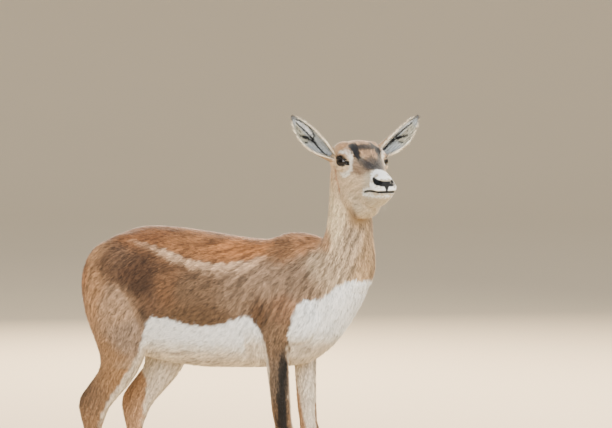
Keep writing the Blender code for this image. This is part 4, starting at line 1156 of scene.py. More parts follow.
def tufts(name, roots, normals, ways, lengths, widths, lifts, colours, unwrap):
    """A joined piece of flat locks of four corners: root in the skin, raised tip, flanks a little lower."""
    sides = np.cross(normals, ways)
    half = sides * (widths / 2)[:, None]
    tip = roots + ways * lengths[:, None] + normals * lifts[:, None]
    roots = roots - normals * TUFT_SINK
    middle = roots + (tip - roots) * TUFT_WIDEST - normals * (TUFT_RIDGE * widths)[:, None]
    points = np.stack([roots, middle - half, middle + half, tip], axis=1)
    faces = np.array([(0, 1, 3), (0, 3, 2), (0, 2, 1), (3, 1, 2)])
    numbers = np.arange(len(roots))[:, None, None] * 4 + faces
    piece = put_mesh(name, points.reshape(-1, 3), numbers.reshape(-1, 3))
    rounded = [normals - 0.15 * ways, normals - 0.55 * sides, normals + 0.55 * sides, normals + 0.15 * ways]
    piece.data.normals_split_custom_set_from_vertices(unit(np.stack(rounded, axis=1)).reshape(-1, 3).tolist())
    # Each lock's root is darker: partly its hair's base, partly painted shade among the tufts.
    paint(piece, "coat", np.clip(colours[:, None, :] * TUFT_TONES[:, None], 0.0, 1.0).reshape(-1, 3))
    patch = np.array(((0.0, -0.5), (-0.5, 0.0), (0.5, 0.0), (0.0, 0.5))) * UNWRAP_PATCH
    places = (0.004 + 0.992 * unwrap[:, None, :] + patch).reshape(-1, 2)
    layer = piece.data.uv_layers.new(name="OFBake")
    corners = np.empty(len(piece.data.loops), np.int32)
    piece.data.loops.foreach_get("vertex_index", corners)
    layer.uv.foreach_set("vector", places[corners].astype(np.float32).ravel())
    return piece


def round_axis(points, origin, along, zero):
    """The skin unrolled from round an axis: the turn about it and the way along it, both from 0 to 1."""
    along = unit(np.asarray(along, float))
    zero = np.asarray(zero, float)
    zero = unit(zero - along * (zero @ along))
    offset = points - origin
    turn = np.arctan2(offset @ np.cross(along, zero), offset @ zero) / (2 * math.pi) + 0.5
    way = offset @ along
    return np.stack([turn, (way - way.min()) / max(np.ptp(way), 1e-9)], axis=1)


# The coat's pieces: each region's name, its slot, and the axis that its skin is unrolled from
Region = namedtuple("Region", "name slot origin along zero")


def coat_regions():
    """The regions of the coat, from the boxes of the solids that they cover."""
    upright = (0.0, 0.0, 1.0)
    torso, neck = middle_of("torso"), middle_of("neck")
    regions = []
    for side in SIDES:
        for zone in TORSO_ZONES:
            regions.append(Region(zone + side, "body_coat", torso, (1.0, 0.0, 0.0), upright))
        for leg in ("foreleg_", "hind_leg_"):
            regions.append(Region(leg + side, "leg_coat", middle_of(leg + side), upright, (0.0, 1.0, 0.0)))
    regions.append(Region("neck", "body_coat", neck, upright, (1.0, 0.0, 0.0)))
    regions.append(Region("head", "head_coat", HEAD_ORIGIN + HEAD_AXES[2] * -0.04, HEAD_AHEAD, upright))
    regions.append(Region("tail", "body_coat", middle_of("tail"), upright, (1.0, 0.0, 0.0)))
    return regions


LEG_TOP = 0.430
BARE_MARGIN = 0.0016
TAIL_COAT_REACH = 0.030
TORSO_ZONES = ("rump_", "flank_", "shoulder_")
FLANK_FROM = -0.370
SHOULDER_FROM = -0.150
NECK_POINT = WITHERS + np.array((0.105, 0.0, -0.045))
NECK_WAY = np.array((0.46, 0.0, 0.89))
FRONT_FROM = -0.267


def region_names(points):
    """The name of the coat's region at each place."""
    side = np.where(points[:, 1] < MIDDLE_Y, "right", "left")
    ahead = from_withers(points)[:, 0]
    fore = ahead > FRONT_FROM
    zone = np.array(TORSO_ZONES)[np.searchsorted((FLANK_FROM, SHOULDER_FROM), ahead)]
    names = np.char.add(zone, side)
    legs = np.char.add(np.where(fore, "foreleg_", "hind_leg_"), side)
    names = np.where(points[:, 2] < LEG_TOP - 0.05 * fore, legs, names)
    names = np.where(on_tail(points, TAIL_COAT_REACH), "tail", names)
    names = np.where((points - NECK_POINT) @ NECK_WAY > 0, "neck", names)
    return np.where(head_share(points) > 0.5, "head", names)


def bare(points):
    """True where no hair grows: in and at the edge of the eyes, on the wet nose and on the lips' line."""
    places = in_head(points)
    wet = (wet_share(places) + mouth_share(places) > 0.3) & (head_share(points) > 0.5)
    return (eye_margin(points) < BARE_MARGIN) | wet


def streaks(points, ways, size, seed):
    """Noise drawn out along the hair: the mean of even noise at steps to either side of each place."""
    steps = np.linspace(-1.8 * size, 1.8 * size, 5)
    return 1.7 * sum(ripple(points + ways * step, size, seed, 36) for step in steps) / len(steps)


def build_coat(settings):
    """Tufts over the whole skin, one joined piece for each region, each tuft coloured where it is widest."""
    skin = bpy.data.objects["skin"].data
    points, normals, triangles = mesh_points(skin), mesh_normals(skin), mesh_triangles(skin)
    ways, lengths = lie_of_coat(points, normals)
    names = region_names(points[triangles].mean(1))
    for number, region in enumerate(coat_regions()):
        dice = np.random.default_rng(100 + number)
        chosen = triangles[names == region.name]
        typical = lengths[chosen].mean(1)
        most = MOST_TUFTS[region.slot]
        crowd = np.minimum(settings.layers / (0.5 * settings.tuft_width * typical**2), most)
        which, weights = scattered(points[chosen], crowd, dice)
        corners = chosen[which]
        roots, out = [np.einsum("ij,ijk->ik", weights, rows[corners]) for rows in (points, normals)]
        grown = ~bare(roots)
        roots, out, corners, weights = roots[grown], unit(out[grown]), corners[grown], weights[grown]
        count = len(roots)
        length = (lengths[corners] * weights).sum(1)
        straight = unit(np.einsum("ij,ijk->ik", weights, ways[corners]))
        bend = 0.13 * dice.normal(size=count) + 0.10 * ripple(roots, 0.05, 31)
        bend += 0.12 * ripple(roots, 0.012, 33)
        way = straight + np.cross(out, straight) * bend[:, None]
        way = unit(way - out * (way * out).sum(1, keepdims=True))
        length = length * np.clip(1.0 + 0.22 * dice.normal(size=count), 0.5, 1.7)
        lift = settings.tuft_lift * length * np.clip(0.75 + 0.35 * dice.normal(size=count), 0.15, 1.8)
        width = settings.tuft_width * length * dice.uniform(0.75, 1.35, count)
        widest = roots + way * (0.35 * length)[:, None]
        colour = coat_colour(widest + 0.0007 * dice.normal(size=(count, 3)), out)
        stray = TUFT_TONE * dice.normal(size=count) + 0.05 * ripple(roots, 0.020, 32)
        share = STREAK_TONE * (HEAD_STREAKS if region.slot == "head_coat" else 1.0)
        stray += share * streaks(roots, straight, STREAK_SIZE * np.median(length), 34)
        stray *= 1.0 - STREAK_CALM * colour.mean(1)
        colour = colour * np.clip(1.0 + stray, LEAST_TONE, MOST_TONE)[:, None]
        unwrap = round_axis(roots, region.origin, region.along, region.zero)
        piece = tufts("coat_" + region.name, roots, out, way, length, width, lift, colour, unwrap)
        dress(piece, coat_finish("coat_" + region.name, 0.62, 0.10), region.slot)


def smooth_rows(rows, count):
    """Rows at even steps on a smooth curve through the given ones: a cubic of each four, by column."""
    rows = np.asarray(rows, float)
    padded = np.concatenate([2 * rows[:1] - rows[1:2], rows, 2 * rows[-1:] - rows[-2:-1]])
    place = np.linspace(0.0, len(rows) - 1.0, count)
    start = np.minimum(place.astype(int), len(rows) - 2)
    t = (place - start)[:, None]
    before, here, after, beyond = (padded[start + k] for k in range(4))
    bend = (2 * before - 5 * here + 4 * after - beyond) * t + (3 * (here - after) + beyond - before) * t * t
    return here + 0.5 * t * (after - before + bend)


def ear_axes(side):
    """An ear's own axes in the frame: the way it faces, across it, and along it to the tip."""
    flip = np.array((1.0, SIDES[side], 1.0))
    along = unit(EAR_AXES[side] * flip)
    face = EAR_FACE * flip
    face = unit(face - along * (face @ along))
    return np.stack([face, np.cross(along, face), along]) @ HEAD_AXES


EAR_ROWS, EAR_ARC_POINTS = 90, 41
CUP_SIZE = np.array((0.147, 0.020))
EAR_TUFTS = 700000.0
EAR_BLUR = np.array((0.010, 0.035))[:, None]
EAR_TIP_DARK = shade(92, 84, 80)
EAR_BACK = shade(190, 164, 134)
EAR_GREY = shade(174, 175, 174)
EAR_BEIGE = shade(178, 172, 156)
EAR_PALE = shade(236, 237, 238)
EAR_LINE = shade(24, 22, 24)
EAR_RIM = shade(240, 226, 202)

# Dark lines in an ear's cup, of bare skin, and one near the root of painted shadow in the opening: half a
# width, and a path as rise and place across, 1 at the crown's side
EAR_STROKES = (
    (
        0.0016,
        ((0.46, 0.10), (0.51, 0.37), (0.59, 0.60), (0.69, 0.72), (0.77, 0.72), (0.85, 0.56), (0.92, 0.30)),
    ),
    (0.0015, ((0.45, 0.04), (0.50, 0.12), (0.57, 0.13), (0.68, 0.14), (0.77, 0.09), (0.87, -0.02))),
    (0.0022, ((0.40, 0.00), (0.46, 0.01), (0.53, -0.10), (0.58, -0.17), (0.63, -0.32))),
    (0.0012, ((0.62, -0.28), (0.68, -0.52))),
    (0.0013, ((0.50, -0.34), (0.55, -0.55))),
    # Low in the cup towards the root: painted shadow of the ear's opening
    (0.0013, ((0.40, 0.00), (0.32, -0.09), (0.25, -0.13), (0.17, -0.22), (0.08, -0.24))),
    (0.0007, ((0.74, -0.20), (0.70, -0.30))),
    (0.0007, ((0.81, -0.28), (0.78, -0.44))),
)
LEAF_RUNGS = 23.0


def near_stroke(rise, across, stroke, width):
    """1 on a line through places of the ear's cup and 0 beyond its width, measured in metres."""
    place = np.stack([rise, across], axis=1) * CUP_SIZE
    line = np.array(stroke) * CUP_SIZE
    nearest = np.full(len(rise), 1.0)
    for start, end in zip(line[:-1], line[1:]):
        nearest = np.minimum(nearest, from_stretch(place, start, end)[0])
    uneven = 1.0 + 0.35 * np.sin(95.0 * rise + 31.0 * across)
    uneven += 0.25 * np.sin(233.0 * rise - 57.0 * across)
    width = width * uneven
    return smooth_step(width * 1.5, width * 0.7, nearest)


def ear_colour(rise, across, within):
    """The ear's colour: tan behind, grey inside with a pale leaf and dark lines, pale rim, dark tip."""
    colour = np.where(within[:, None] > 0.5, EAR_GREY, EAR_BACK)
    beige = smooth_step(0.44, 0.56, rise) * smooth_step(0.90, 0.80, rise) * smooth_step(0.00, -0.12, across)
    colour = mix(colour, EAR_BEIGE, beige * within)
    leaf_top = np.interp(rise, (0.46, 0.51, 0.59, 0.69, 0.77, 0.86), (0.13, 0.37, 0.60, 0.72, 0.72, 0.50))
    leaf = smooth_step(0.46, 0.50, rise) * smooth_step(0.90, 0.84, rise) * smooth_step(0.08, 0.16, across)
    leaf *= smooth_step(leaf_top + 0.03, leaf_top - 0.05, across)
    rungs = 0.75 + 0.25 * np.sin(2 * math.pi * LEAF_RUNGS * (rise - 0.10 * across))
    colour = mix(colour, EAR_PALE * rungs[:, None], leaf * within)
    for width, stroke in EAR_STROKES:
        colour = mix(colour, EAR_LINE, near_stroke(rise, across, stroke, width) * within)
    # Pale rim: the ear's pale fringe of hair, brightened as painted back light along the edge.
    colour = mix(colour, EAR_RIM, smooth_step(0.90, 0.99, np.abs(across)) * 0.85)
    return deepened(mix(colour, EAR_TIP_DARK, smooth_step(0.90, 0.98, rise) * 0.75))


def ear_surface(side, rows, arc_points):
    """Both faces of a cup, arcs that change from root to tip, and each point's rise, place across and face."""
    rise = np.linspace(0.0, 1.0, rows)
    radius, spread, thick = smooth_rows(EAR_ARCS, rows).T
    sweep = np.linspace(-1.0, 1.0, arc_points)
    grid, marks = [], []
    for reach, order, within in ((radius, 1, 0.0), (radius - thick * 0.8, -1, 1.0)):
        angle = np.radians(spread)[:, None] * sweep[None, ::order]
        deep = radius[:, None] - reach[:, None] * np.cos(angle) + (EAR_BEND * rise**2)[:, None]
        sway = SIDES[side] * EAR_SWAY * np.sin(math.pi * rise)
        across = reach[:, None] * np.sin(angle) + sway[:, None]
        along = np.broadcast_to((rise * EAR_LENGTH[side])[:, None], angle.shape)
        grid.append(np.stack([deep, across, along], axis=2))
        towards_crown = np.broadcast_to(sweep[::order] * -SIDES[side], angle.shape)
        risen = np.broadcast_to(rise[:, None], angle.shape)
        marks.append(np.stack([risen, towards_crown, angle * 0 + within], axis=2))
    grid, marks = np.concatenate(grid, axis=1), np.concatenate(marks, axis=1)
    root = from_head(EAR_ROOT * (1.0, SIDES[side], 1.0))
    return root + grid @ ear_axes(side), marks


def build_ear(side):
    """An ear: its thin cup with stored colours, then its hair."""
    grid, marks = ear_surface(side, EAR_ROWS, EAR_ARC_POINTS)
    cup = lathe_piece("ear_cup_" + side, grid)
    flat = np.concatenate([marks.reshape(-1, 3), marks[0].mean(0)[None], marks[-1].mean(0)[None]])
    paint(cup, "coat", ear_colour(*flat.T))
    paint(cup, "wet", np.zeros(len(flat)))
    dress(cup, skin_finish(), "ear_coat", "ear_" + side)
    build_ear_hair(side, cup, flat)


def build_ear_hair(side, cup, flat):
    """Short hairs behind an ear, a fringe at its rim and longer pale hairs inside, all along the ear."""
    dice = np.random.default_rng(300 + SIDES[side])
    points, normals = mesh_points(cup.data), mesh_normals(cup.data)
    triangles = mesh_triangles(cup.data)
    triangles = triangles[(triangles < len(points) - 2).all(1)]
    which, weights = scattered(points[triangles], np.full(len(triangles), EAR_TUFTS), dice)
    corners = triangles[which]
    roots, out, mark = [np.einsum("ij,ijk->ik", weights, rows[corners]) for rows in (points, normals, flat)]
    rise, across, within = mark.T
    edge = smooth_step(0.80, 0.95, np.abs(across))
    keep = (rise > 0.02) & (dice.random(len(roots)) < np.where(within > 0.5, 0.75 + 0.25 * edge, 1.0))
    roots, out, rise, across, within, edge = (rows[keep] for rows in (roots, out, rise, across, within, edge))
    _, over, along = ear_axes(side)
    count = len(roots)
    lean = np.where(within > 0.5, -0.55 * across * (1 - edge), 0.7 * across * edge) * -SIDES[side]
    way = along + over * (lean + 0.12 * dice.normal(size=count))[:, None]
    way = unit(way - out * (way * out).sum(1, keepdims=True))
    length = np.where(within > 0.5, 0.0062 + 0.002 * (np.abs(across) > 0.6), 0.0055)
    length = length * dice.uniform(0.6, 1.4, count)
    length *= 1.0 - 0.35 * smooth_step(0.8, 1.0, rise)
    lift = length * (np.where(within > 0.5, 0.16, 0.12) + 0.18 * edge) * dice.uniform(0.5, 1.4, count)
    blur = EAR_BLUR * dice.normal(size=(2, count))
    colour = ear_colour(rise + 0.35 * length / CUP_SIZE[0] + blur[0], across + blur[1], within)
    stray = 0.24 * dice.normal(size=count) + 0.55 * streaks(roots, along, 0.0045, 35)
    colour *= np.clip(1.0 + stray, LEAST_TONE, MOST_TONE)[:, None]
    unwrap = np.stack([0.5 + 0.24 * across + np.where(within > 0.5, 0.25, -0.25), rise], axis=1)
    hairs = tufts("coat_ear_" + side, roots, unit(out), way, length, length * 0.115, lift, colour, unwrap)
    dress(hairs, coat_finish("coat_ear_" + side, 0.60, 0.10), "ear_coat")


EYE_ROWS, EYE_AROUND = 64, 72
IRIS_REACH = 0.0118
PUPIL_HALF_LENGTH, PUPIL_HALF_HEIGHT = 0.0072, 0.0036
IRIS_DARK = shade(8, 6, 6)
IRIS_BROWN = shade(20, 13, 10)
PUPIL_BLACK = shade(2, 2, 4)
ROUND_IRIS = shade(18, 14, 13)
LID_STEPS = 96
RIM_AROUND = 12
LASHES = 70
LASH_WIDTH = 0.0005


def build_eyeball(side, settings):
    """An eyeball: a ball about its gaze with the cornea's bulge, a wide flat pupil and a brown iris."""
    polar = np.linspace(0.0, math.pi, EYE_ROWS)[:, None]
    turn = (np.arange(EYE_AROUND) * 2 * math.pi / EYE_AROUND)[None, :]
    reach = EYE_RADIUS - 0.0004 + 0.0011 * smooth_step(0.95, 0.15, polar)
    round_gaze = reach * np.sin(polar)
    ball = [round_gaze * np.cos(turn), round_gaze * np.sin(turn), reach * np.cos(polar) + 0 * turn]
    ball = np.stack(ball, axis=2)
    eye = lathe_piece("eyeball_" + side, EYES[side] + ball[1:-1] @ eye_axes(side))
    local = (mesh_points(eye.data) - EYES[side]) @ eye_axes(side).T
    away = np.hypot(local[:, 0], local[:, 1])
    colour = np.tile(ROUND_IRIS, (len(local), 1))
    front = local[:, 2] > 0
    colour = mix(colour, IRIS_DARK, smooth_step(IRIS_REACH + 0.0012, IRIS_REACH, away) * front)
    spokes = 0.5 + 0.5 * np.sin(np.arctan2(local[:, 1], local[:, 0]) * 40)
    ring = smooth_step(IRIS_REACH, IRIS_REACH - 0.003, away) * (0.5 + 0.5 * spokes)
    colour = mix(colour, np.array(settings.iris_colour), ring * front)
    oval = np.hypot(local[:, 0] / PUPIL_HALF_LENGTH, local[:, 1] / PUPIL_HALF_HEIGHT)
    colour = mix(colour, PUPIL_BLACK, smooth_step(1.12, 0.95, oval) * front)
    paint(eye, "coat", colour)
    dress(eye, eye_finish(), "eye", "eye_" + side)


def lid_line(side):
    """The almond between the lids, just off the ball: places on it, the ways out there and their heights."""
    ahead, up, gaze = eye_axes(side)
    turn = np.arange(LID_STEPS) * 2 * math.pi / LID_STEPS
    x = LID_HALF_LENGTH * np.cos(turn)
    y = np.where(turn < math.pi, LID_ABOVE, -LID_BELOW) * np.abs(np.sin(turn)) ** 1.5
    z = np.sqrt(EYE_RADIUS**2 - x**2 - y**2)
    out = unit(x[:, None] * ahead + y[:, None] * up + z[:, None] * gaze)
    return EYES[side] + out * (EYE_RADIUS + 0.0004), out, y


def build_lid_edge(side):
    """The lids' bare edge: a thin tube carried along the almond, thicker above."""
    path, out, height = lid_line(side)
    run = unit(np.roll(path, -1, axis=0) - np.roll(path, 1, axis=0))
    flank = unit(np.cross(run, out))
    angle = (np.arange(RIM_AROUND) * 2 * math.pi / RIM_AROUND)[None, :, None]
    thick = (RIM_RADIUS * (1.0 + 0.25 * (height > 0)))[:, None, None]
    ring = path[:, None, :] + thick * (np.cos(angle) * flank[:, None, :] + np.sin(angle) * out[:, None, :])
    faces = tube_faces(len(ring) + 1, RIM_AROUND) % (len(ring) * RIM_AROUND)
    rim = put_mesh("lid_edge_" + side, ring.reshape(-1, 3), faces)
    turned_right(rim)
    paint(rim, "coat", np.tile(LASH_BLACK, (len(rim.data.vertices), 1)))
    dress(rim, rim_finish(), "eye")


def build_lashes(side):
    """Lashes along the upper lid, longest over its middle."""
    path, out, height = lid_line(side)
    ahead, up, gaze = eye_axes(side)
    dice = np.random.default_rng(500 + SIDES[side])
    upper = np.nonzero(height > 0.0015)[0]
    picks = upper[dice.integers(0, len(upper), LASHES)]
    root = path[picks] + out[picks] * RIM_RADIUS + 0.0006 * dice.normal(size=(LASHES, 3))
    way = 0.75 * out[picks] + 0.45 * up - 0.15 * gaze + 0.10 * ahead
    way = unit(way + 0.10 * dice.normal(size=(LASHES, 3)))
    side_on = unit(np.cross(way, ahead))
    length = (0.0070 + 0.0050 * height[picks] / LID_ABOVE) * dice.uniform(0.75, 1.2, LASHES)
    unwrap = np.stack([picks / LID_STEPS, np.full(LASHES, 0.5)], axis=1)
    colour = np.tile(LASH_BLACK, (LASHES, 1))
    width = np.full(LASHES, LASH_WIDTH)
    piece = tufts("lashes_" + side, root, side_on, way, length, width, length * 0.05, colour, unwrap)
    dress(piece, coat_finish("lashes_" + side, 0.45, 0.0), "head_coat")


WHISKERS_IN_ZONE = 34
WHISKER_WIDTH = 0.00036


def build_whiskers():
    """Fine stiff hairs at the lips and chin, which lean back and down."""
    dice = np.random.default_rng(700)
    skin = bpy.data.objects["skin"].data
    points, normals = mesh_points(skin), mesh_normals(skin)
    places = in_head(points)
    lips = (places[:, 0] > 0.100) & (np.abs(places[:, 2] + 0.074) < 0.012) & (head_share(points) > 0.9)
    chin = (places[:, 0] > 0.075) & (places[:, 2] < -0.096) & (head_share(points) > 0.9)
    zones = [dice.choice(np.nonzero(zone)[0], WHISKERS_IN_ZONE, replace=False) for zone in (lips, chin)]
    picks = np.concatenate(zones)
    picks = picks[~bare(points[picks])]
    count = len(picks)
    way = normals[picks] - 0.45 * HEAD_AHEAD + np.array((0.0, 0.0, -0.55))
    way = unit(way + 0.2 * dice.normal(size=(count, 3)))
    side_on = unit(np.cross(way, HEAD_AHEAD))
    length = dice.uniform(0.010, 0.022, count)
    colour = np.tile(EYE_RING * 0.8, (count, 1))
    unwrap = round_axis(points[picks], HEAD_ORIGIN, HEAD_AHEAD, (0.0, 0.0, 1.0))
    width = np.full(count, WHISKER_WIDTH)
    piece = tufts("whiskers", points[picks], side_on, way, length, width, length * 0.08, colour, unwrap)
    dress(piece, coat_finish("whiskers", 0.45, 0.0), "head_coat")


# A claw: how far up its wall runs at heel and toe, how much the wall leans, and its outline from heel to toe
CLAW_SLOPE = 0.021
CLAW_HEEL_LEAN = 0.004
CLAW_HEEL_HEIGHT = 0.022
CLAW_TOE_HEIGHT = 0.037
CLAW_OUTLINE = ((0.0, 0.55), (0.10, 0.88), (0.35, 1.0), (0.60, 0.96), (0.82, 0.76), (0.95, 0.44), (1.0, 0.12))
CLAW_ROWS, CLAW_SIDE_POINTS = 26, 30
CLAW_OUTLINE_POINTS = 60
HORN_DARK = shade(58, 48, 42)
HORN_PALE = shade(112, 96, 80)


def claw_surface(low, high, out):
    """One claw in its node's box: D-shaped rows from a flat sole up, leaning back at the toe, ridged."""
    rise = np.linspace(0.0, 1.0, CLAW_ROWS)[:, None]
    turn = np.linspace(0.0, math.pi, CLAW_SIDE_POINTS)
    reach = (1 - np.cos(turn)) / 2
    width = np.interp(reach, *smooth_rows(CLAW_OUTLINE, CLAW_OUTLINE_POINTS).T) * (high.y - low.y)
    toe = high.x - low.x - rise * CLAW_SLOPE
    heel = rise * CLAW_HEEL_LEAN
    along = heel + reach * (toe - heel)
    top = CLAW_HEEL_HEIGHT + (CLAW_TOE_HEIGHT - CLAW_HEEL_HEIGHT) * reach
    sole_edge = 1.0 - 0.05 * smooth_step(0.05, 0.0, rise)
    ridges = 1.0 + 0.012 * np.sin(rise * 46.0) * smooth_step(0.08, 0.2, rise)
    wall = width * (1.0 - 0.10 * rise) * sole_edge * ridges
    wall = np.minimum(wall, high.y - low.y)
    inner = 0.0012 * np.sin(math.pi * reach) + 0.0006 * rise
    outer_rows = np.stack([along, wall, top * rise], axis=2)
    inner_rows = np.stack([along, inner + 0 * rise, top * rise], axis=2)[:, ::-1]
    grid = np.concatenate([outer_rows, inner_rows[:, 1:-1]], axis=1)
    cleft = low.y if out > 0 else high.y
    return np.array((low.x, cleft, low.z)) + grid * (1.0, out, 1.0)


def build_claws(settings):
    """Eight claws in place of their plain solids, and two small dewclaws behind each fetlock."""
    finish = claw_finish()
    for leg in ("foreleg", "hind_leg"):
        for side, sign in SIDES.items():
            for place, out in (("inner", -sign), ("outer", sign)):
                node = f"hoof_{leg}_{side}_{place}"
                grid = claw_surface(*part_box(node), out)
                claw = lathe_piece(f"claw_{leg}_{side}_{place}", grid)
                height = mesh_points(claw.data)[:, 2]
                bands = 0.5 + 0.5 * np.sin(height * 900.0 + 3.0 * ripple(mesh_points(claw.data), 0.02, 41))
                horn = np.tile(np.array(settings.horn_colour), (len(height), 1))
                paint(claw, "coat", mix(horn, HORN_PALE, 0.45 * bands))
                dress(claw, finish, "hoof", node)
            build_dewclaws(leg, side, finish, settings)


DEWCLAW_BEHIND = 0.0125
DEWCLAW_HEIGHT = 0.058
DEWCLAW_APART = 0.0095
DEWCLAW_PROFILE = ((-0.010, 0.0030), (-0.003, 0.0058), (0.006, 0.0052), (0.011, 0.0032), (0.0135, 0.0008))
DEWCLAW_ROWS, DEWCLAW_AROUND = 18, 20


def build_dewclaws(leg, side, finish, settings):
    """Two blunt claws behind a fetlock: tapering rows that hang back and down."""
    low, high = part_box(f"hoof_{leg}_{side}_outer")
    inner_low, inner_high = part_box(f"hoof_{leg}_{side}_inner")
    middle_y = (max(low.y, inner_low.y) + min(high.y, inner_high.y)) / 2
    for place, out in (("inner", -1), ("outer", 1)):
        drop = np.linspace(DEWCLAW_PROFILE[0][0], DEWCLAW_PROFILE[-1][0], DEWCLAW_ROWS)[:, None]
        radius = table_at(DEWCLAW_PROFILE, drop)
        turn = (np.arange(DEWCLAW_AROUND) * 2 * math.pi / DEWCLAW_AROUND)[None, :]
        aside = middle_y + out * SIDES[side] * DEWCLAW_APART
        centre = np.array((low.x - DEWCLAW_BEHIND, aside, DEWCLAW_HEIGHT))
        rows = [radius * np.cos(turn) - 0.35 * drop, radius * np.sin(turn), -drop + 0 * turn]
        dewclaw = lathe_piece(f"dewclaw_{leg}_{side}_{place}", centre + np.stack(rows, axis=2))
        count = len(dewclaw.data.vertices)
        paint(dewclaw, "coat", np.tile(np.array(settings.horn_colour), (count, 1)))
        dress(dewclaw, finish, "hoof")


FLOOR_FLAT, FLOOR_EDGE, WALL_HEIGHT = 11.0, 19.0, 9.0
FLOOR_RINGS = (0.05, 2.0, 6.0)
FLOOR_AROUND = 96
FLOOR_PALE = shade(226, 208, 178)
LIGHT_AIM = Vector((WITHERS[0] - 0.1, WITHERS[1], 0.6))


def build_floor():
    """A pale floor that curves up into a round wall, far out: a profile turned about the animal."""
    turn = (np.arange(FLOOR_AROUND) * 2 * math.pi / FLOOR_AROUND)[None, :]
    quarter = np.linspace(0.0, math.pi / 2, 24)
    curve = FLOOR_FLAT + (FLOOR_EDGE - FLOOR_FLAT) * np.sin(quarter)
    reach = np.concatenate([FLOOR_RINGS, curve])[:, None]
    height = np.concatenate([np.zeros(len(FLOOR_RINGS)), WALL_HEIGHT * (1 - np.cos(quarter))])[:, None]
    grid = np.stack([reach * np.cos(turn), reach * np.sin(turn), height + 0 * turn], axis=2)
    points = np.concatenate([grid.reshape(-1, 3), [(0.0, 0.0, 0.0)]])
    k = np.arange(FLOOR_AROUND)
    middle = np.stack([k, (k + 1) % FLOOR_AROUND, np.full(FLOOR_AROUND, len(points) - 1)], axis=1)
    floor = put_mesh("floor", points, np.concatenate([tube_faces(len(grid), FLOOR_AROUND)[:, ::-1], middle]))
    made = Finish("floor_paint", Specular_IOR_Level=0.2)
    tone = made.grain(0.8, 2.0) * 0.03 + 0.985
    made.drive("Base Color", made.tinted(tuple(FLOOR_PALE), tone))
    made.drive("Roughness", made.grain(3.0) * 0.05 + 0.85)
    floor.data.materials.append(made.material)


def soft_light(name, place, size, power, colour):
    """A square area light that looks at the animal."""
    lamp = bpy.data.lights.new(name, "AREA")
    lamp.size = size
    lamp.energy = power
    lamp.color = colour
    held = bpy.data.objects.new(name, lamp)
    held.location = place
    held.rotation_euler = (LIGHT_AIM - Vector(place)).to_track_quat("-Z", "Y").to_euler()
    bpy.context.scene.collection.objects.link(held)


def build_stage(settings):
    """The floor, soft light from above and before, warm light from behind, and the photograph's camera."""
    build_floor()
    world = bpy.data.worlds.new("sky")
    world.use_nodes = True
    background = world.node_tree.nodes["Background"]
    background.inputs["Color"].default_value = (0.93, 0.96, 1.0, 1.0)
    background.inputs["Strength"].default_value = settings.sky
    bpy.context.scene.world = world
    soft_light("key", (1.8, -4.6, 2.7), 3.2, settings.key, (1.0, 0.98, 0.96))
    soft_light("fill", (4.2, 0.6, 2.2), 2.4, settings.key * 0.35, (0.95, 0.98, 1.0))
    soft_light("back_left", (-2.6, 3.4, 2.4), 1.6, settings.back, (1.0, 0.84, 0.64))
    soft_light("back_right", (1.2, 4.0, 2.6), 1.6, settings.back, (1.0, 0.86, 0.68))

    right = np.array((math.cos(CAMERA_TURN), math.sin(CAMERA_TURN), 0.0))
    level_back = np.array((math.sin(CAMERA_TURN), -math.cos(CAMERA_TURN), 0.0))
    back = level_back * math.cos(CAMERA_TILT) + np.array((0.0, 0.0, math.sin(CAMERA_TILT)))
    up = np.cross(back, right)
    lens = bpy.data.cameras.new("camera")
    lens.sensor_width = SENSOR_WIDTH
    lens.lens = SENSOR_WIDTH * FOCAL_PIXELS / PHOTO_WIDTH
    lens.clip_end = 100.0
    camera = bpy.data.objects.new("camera", lens)
    place = WITHERS + back * CAMERA_DISTANCE
    aim = WITHERS + right * AIM_RIGHT + up * AIM_UP
    camera.location = place
    camera.rotation_euler = Vector(aim - place).to_track_quat("-Z", "Y").to_euler()
    bpy.context.scene.collection.objects.link(camera)
    bpy.context.scene.camera = camera


class BLACKBUCK_PG_coat(bpy.types.PropertyGroup):
    """How the coat's tufts are shaped and how deep the coat is."""

    tuft_width: bpy.props.FloatProperty(
        name="Tuft width",
        description="Width of a tuft as a share of its length",
        default=TUFT_WIDTH,
        min=0.02,
    )
    tuft_lift: bpy.props.FloatProperty(
        name="Tuft lift",
        description="Height of a tuft's tip as a share of its length",
        default=TUFT_LIFT,
        min=0.0,
    )
    layers: bpy.props.FloatProperty(
        name="Layers",
        description="How many tufts cover each spot of the skin",
        default=TUFT_LAYERS,
        min=0.1,
    )
    coat_depth: bpy.props.FloatProperty(
        name="Coat depth",
        description="Depth of the coat as a share of a tuft's length",
        default=COAT_DEPTH,
        min=0.0,
    )


class BLACKBUCK_PG_colours(bpy.types.PropertyGroup):
    """Colours of the eyes and the horn."""

    iris_colour: bpy.props.FloatVectorProperty(
        name="Iris",
        description="Colour of the iris",
        subtype="COLOR",
        default=tuple(IRIS_BROWN),
    )
    horn_colour: bpy.props.FloatVectorProperty(
        name="Horn",
        description="Colour of the claws",
        subtype="COLOR",
        default=tuple(HORN_DARK),
    )


class BLACKBUCK_PG_stage(bpy.types.PropertyGroup):
    """Strength of the stage's lights."""

    sky: bpy.props.FloatProperty(
        name="Sky",
        description="Strength of the light from all round",
        default=0.75,
        min=0.0,
    )
    key: bpy.props.FloatProperty(
        name="Key",
        description="Power of the soft light before the animal",
        default=500.0,
        min=0.0,
        unit="POWER",
    )
    back: bpy.props.FloatProperty(
        name="Back",
        description="Power of each warm light behind the animal",
        default=340.0,
        min=0.0,
        unit="POWER",
    )


class BLACKBUCK_OT_skin(bpy.types.Operator):
    """Make one skin in place of all the solids of flesh"""

    bl_idname = "blackbuck.skin"
    bl_label = "Skin"

    def execute(self, context):
        build_skin(context.scene.blackbuck_coat)
        return {"FINISHED"}


class BLACKBUCK_OT_coat(bpy.types.Operator):
    """Lay the coat's tufts over the skin, region by region"""

    bl_idname = "blackbuck.coat"
    bl_label = "Coat"

    def execute(self, context):
        build_coat(context.scene.blackbuck_coat)
        return {"FINISHED"}


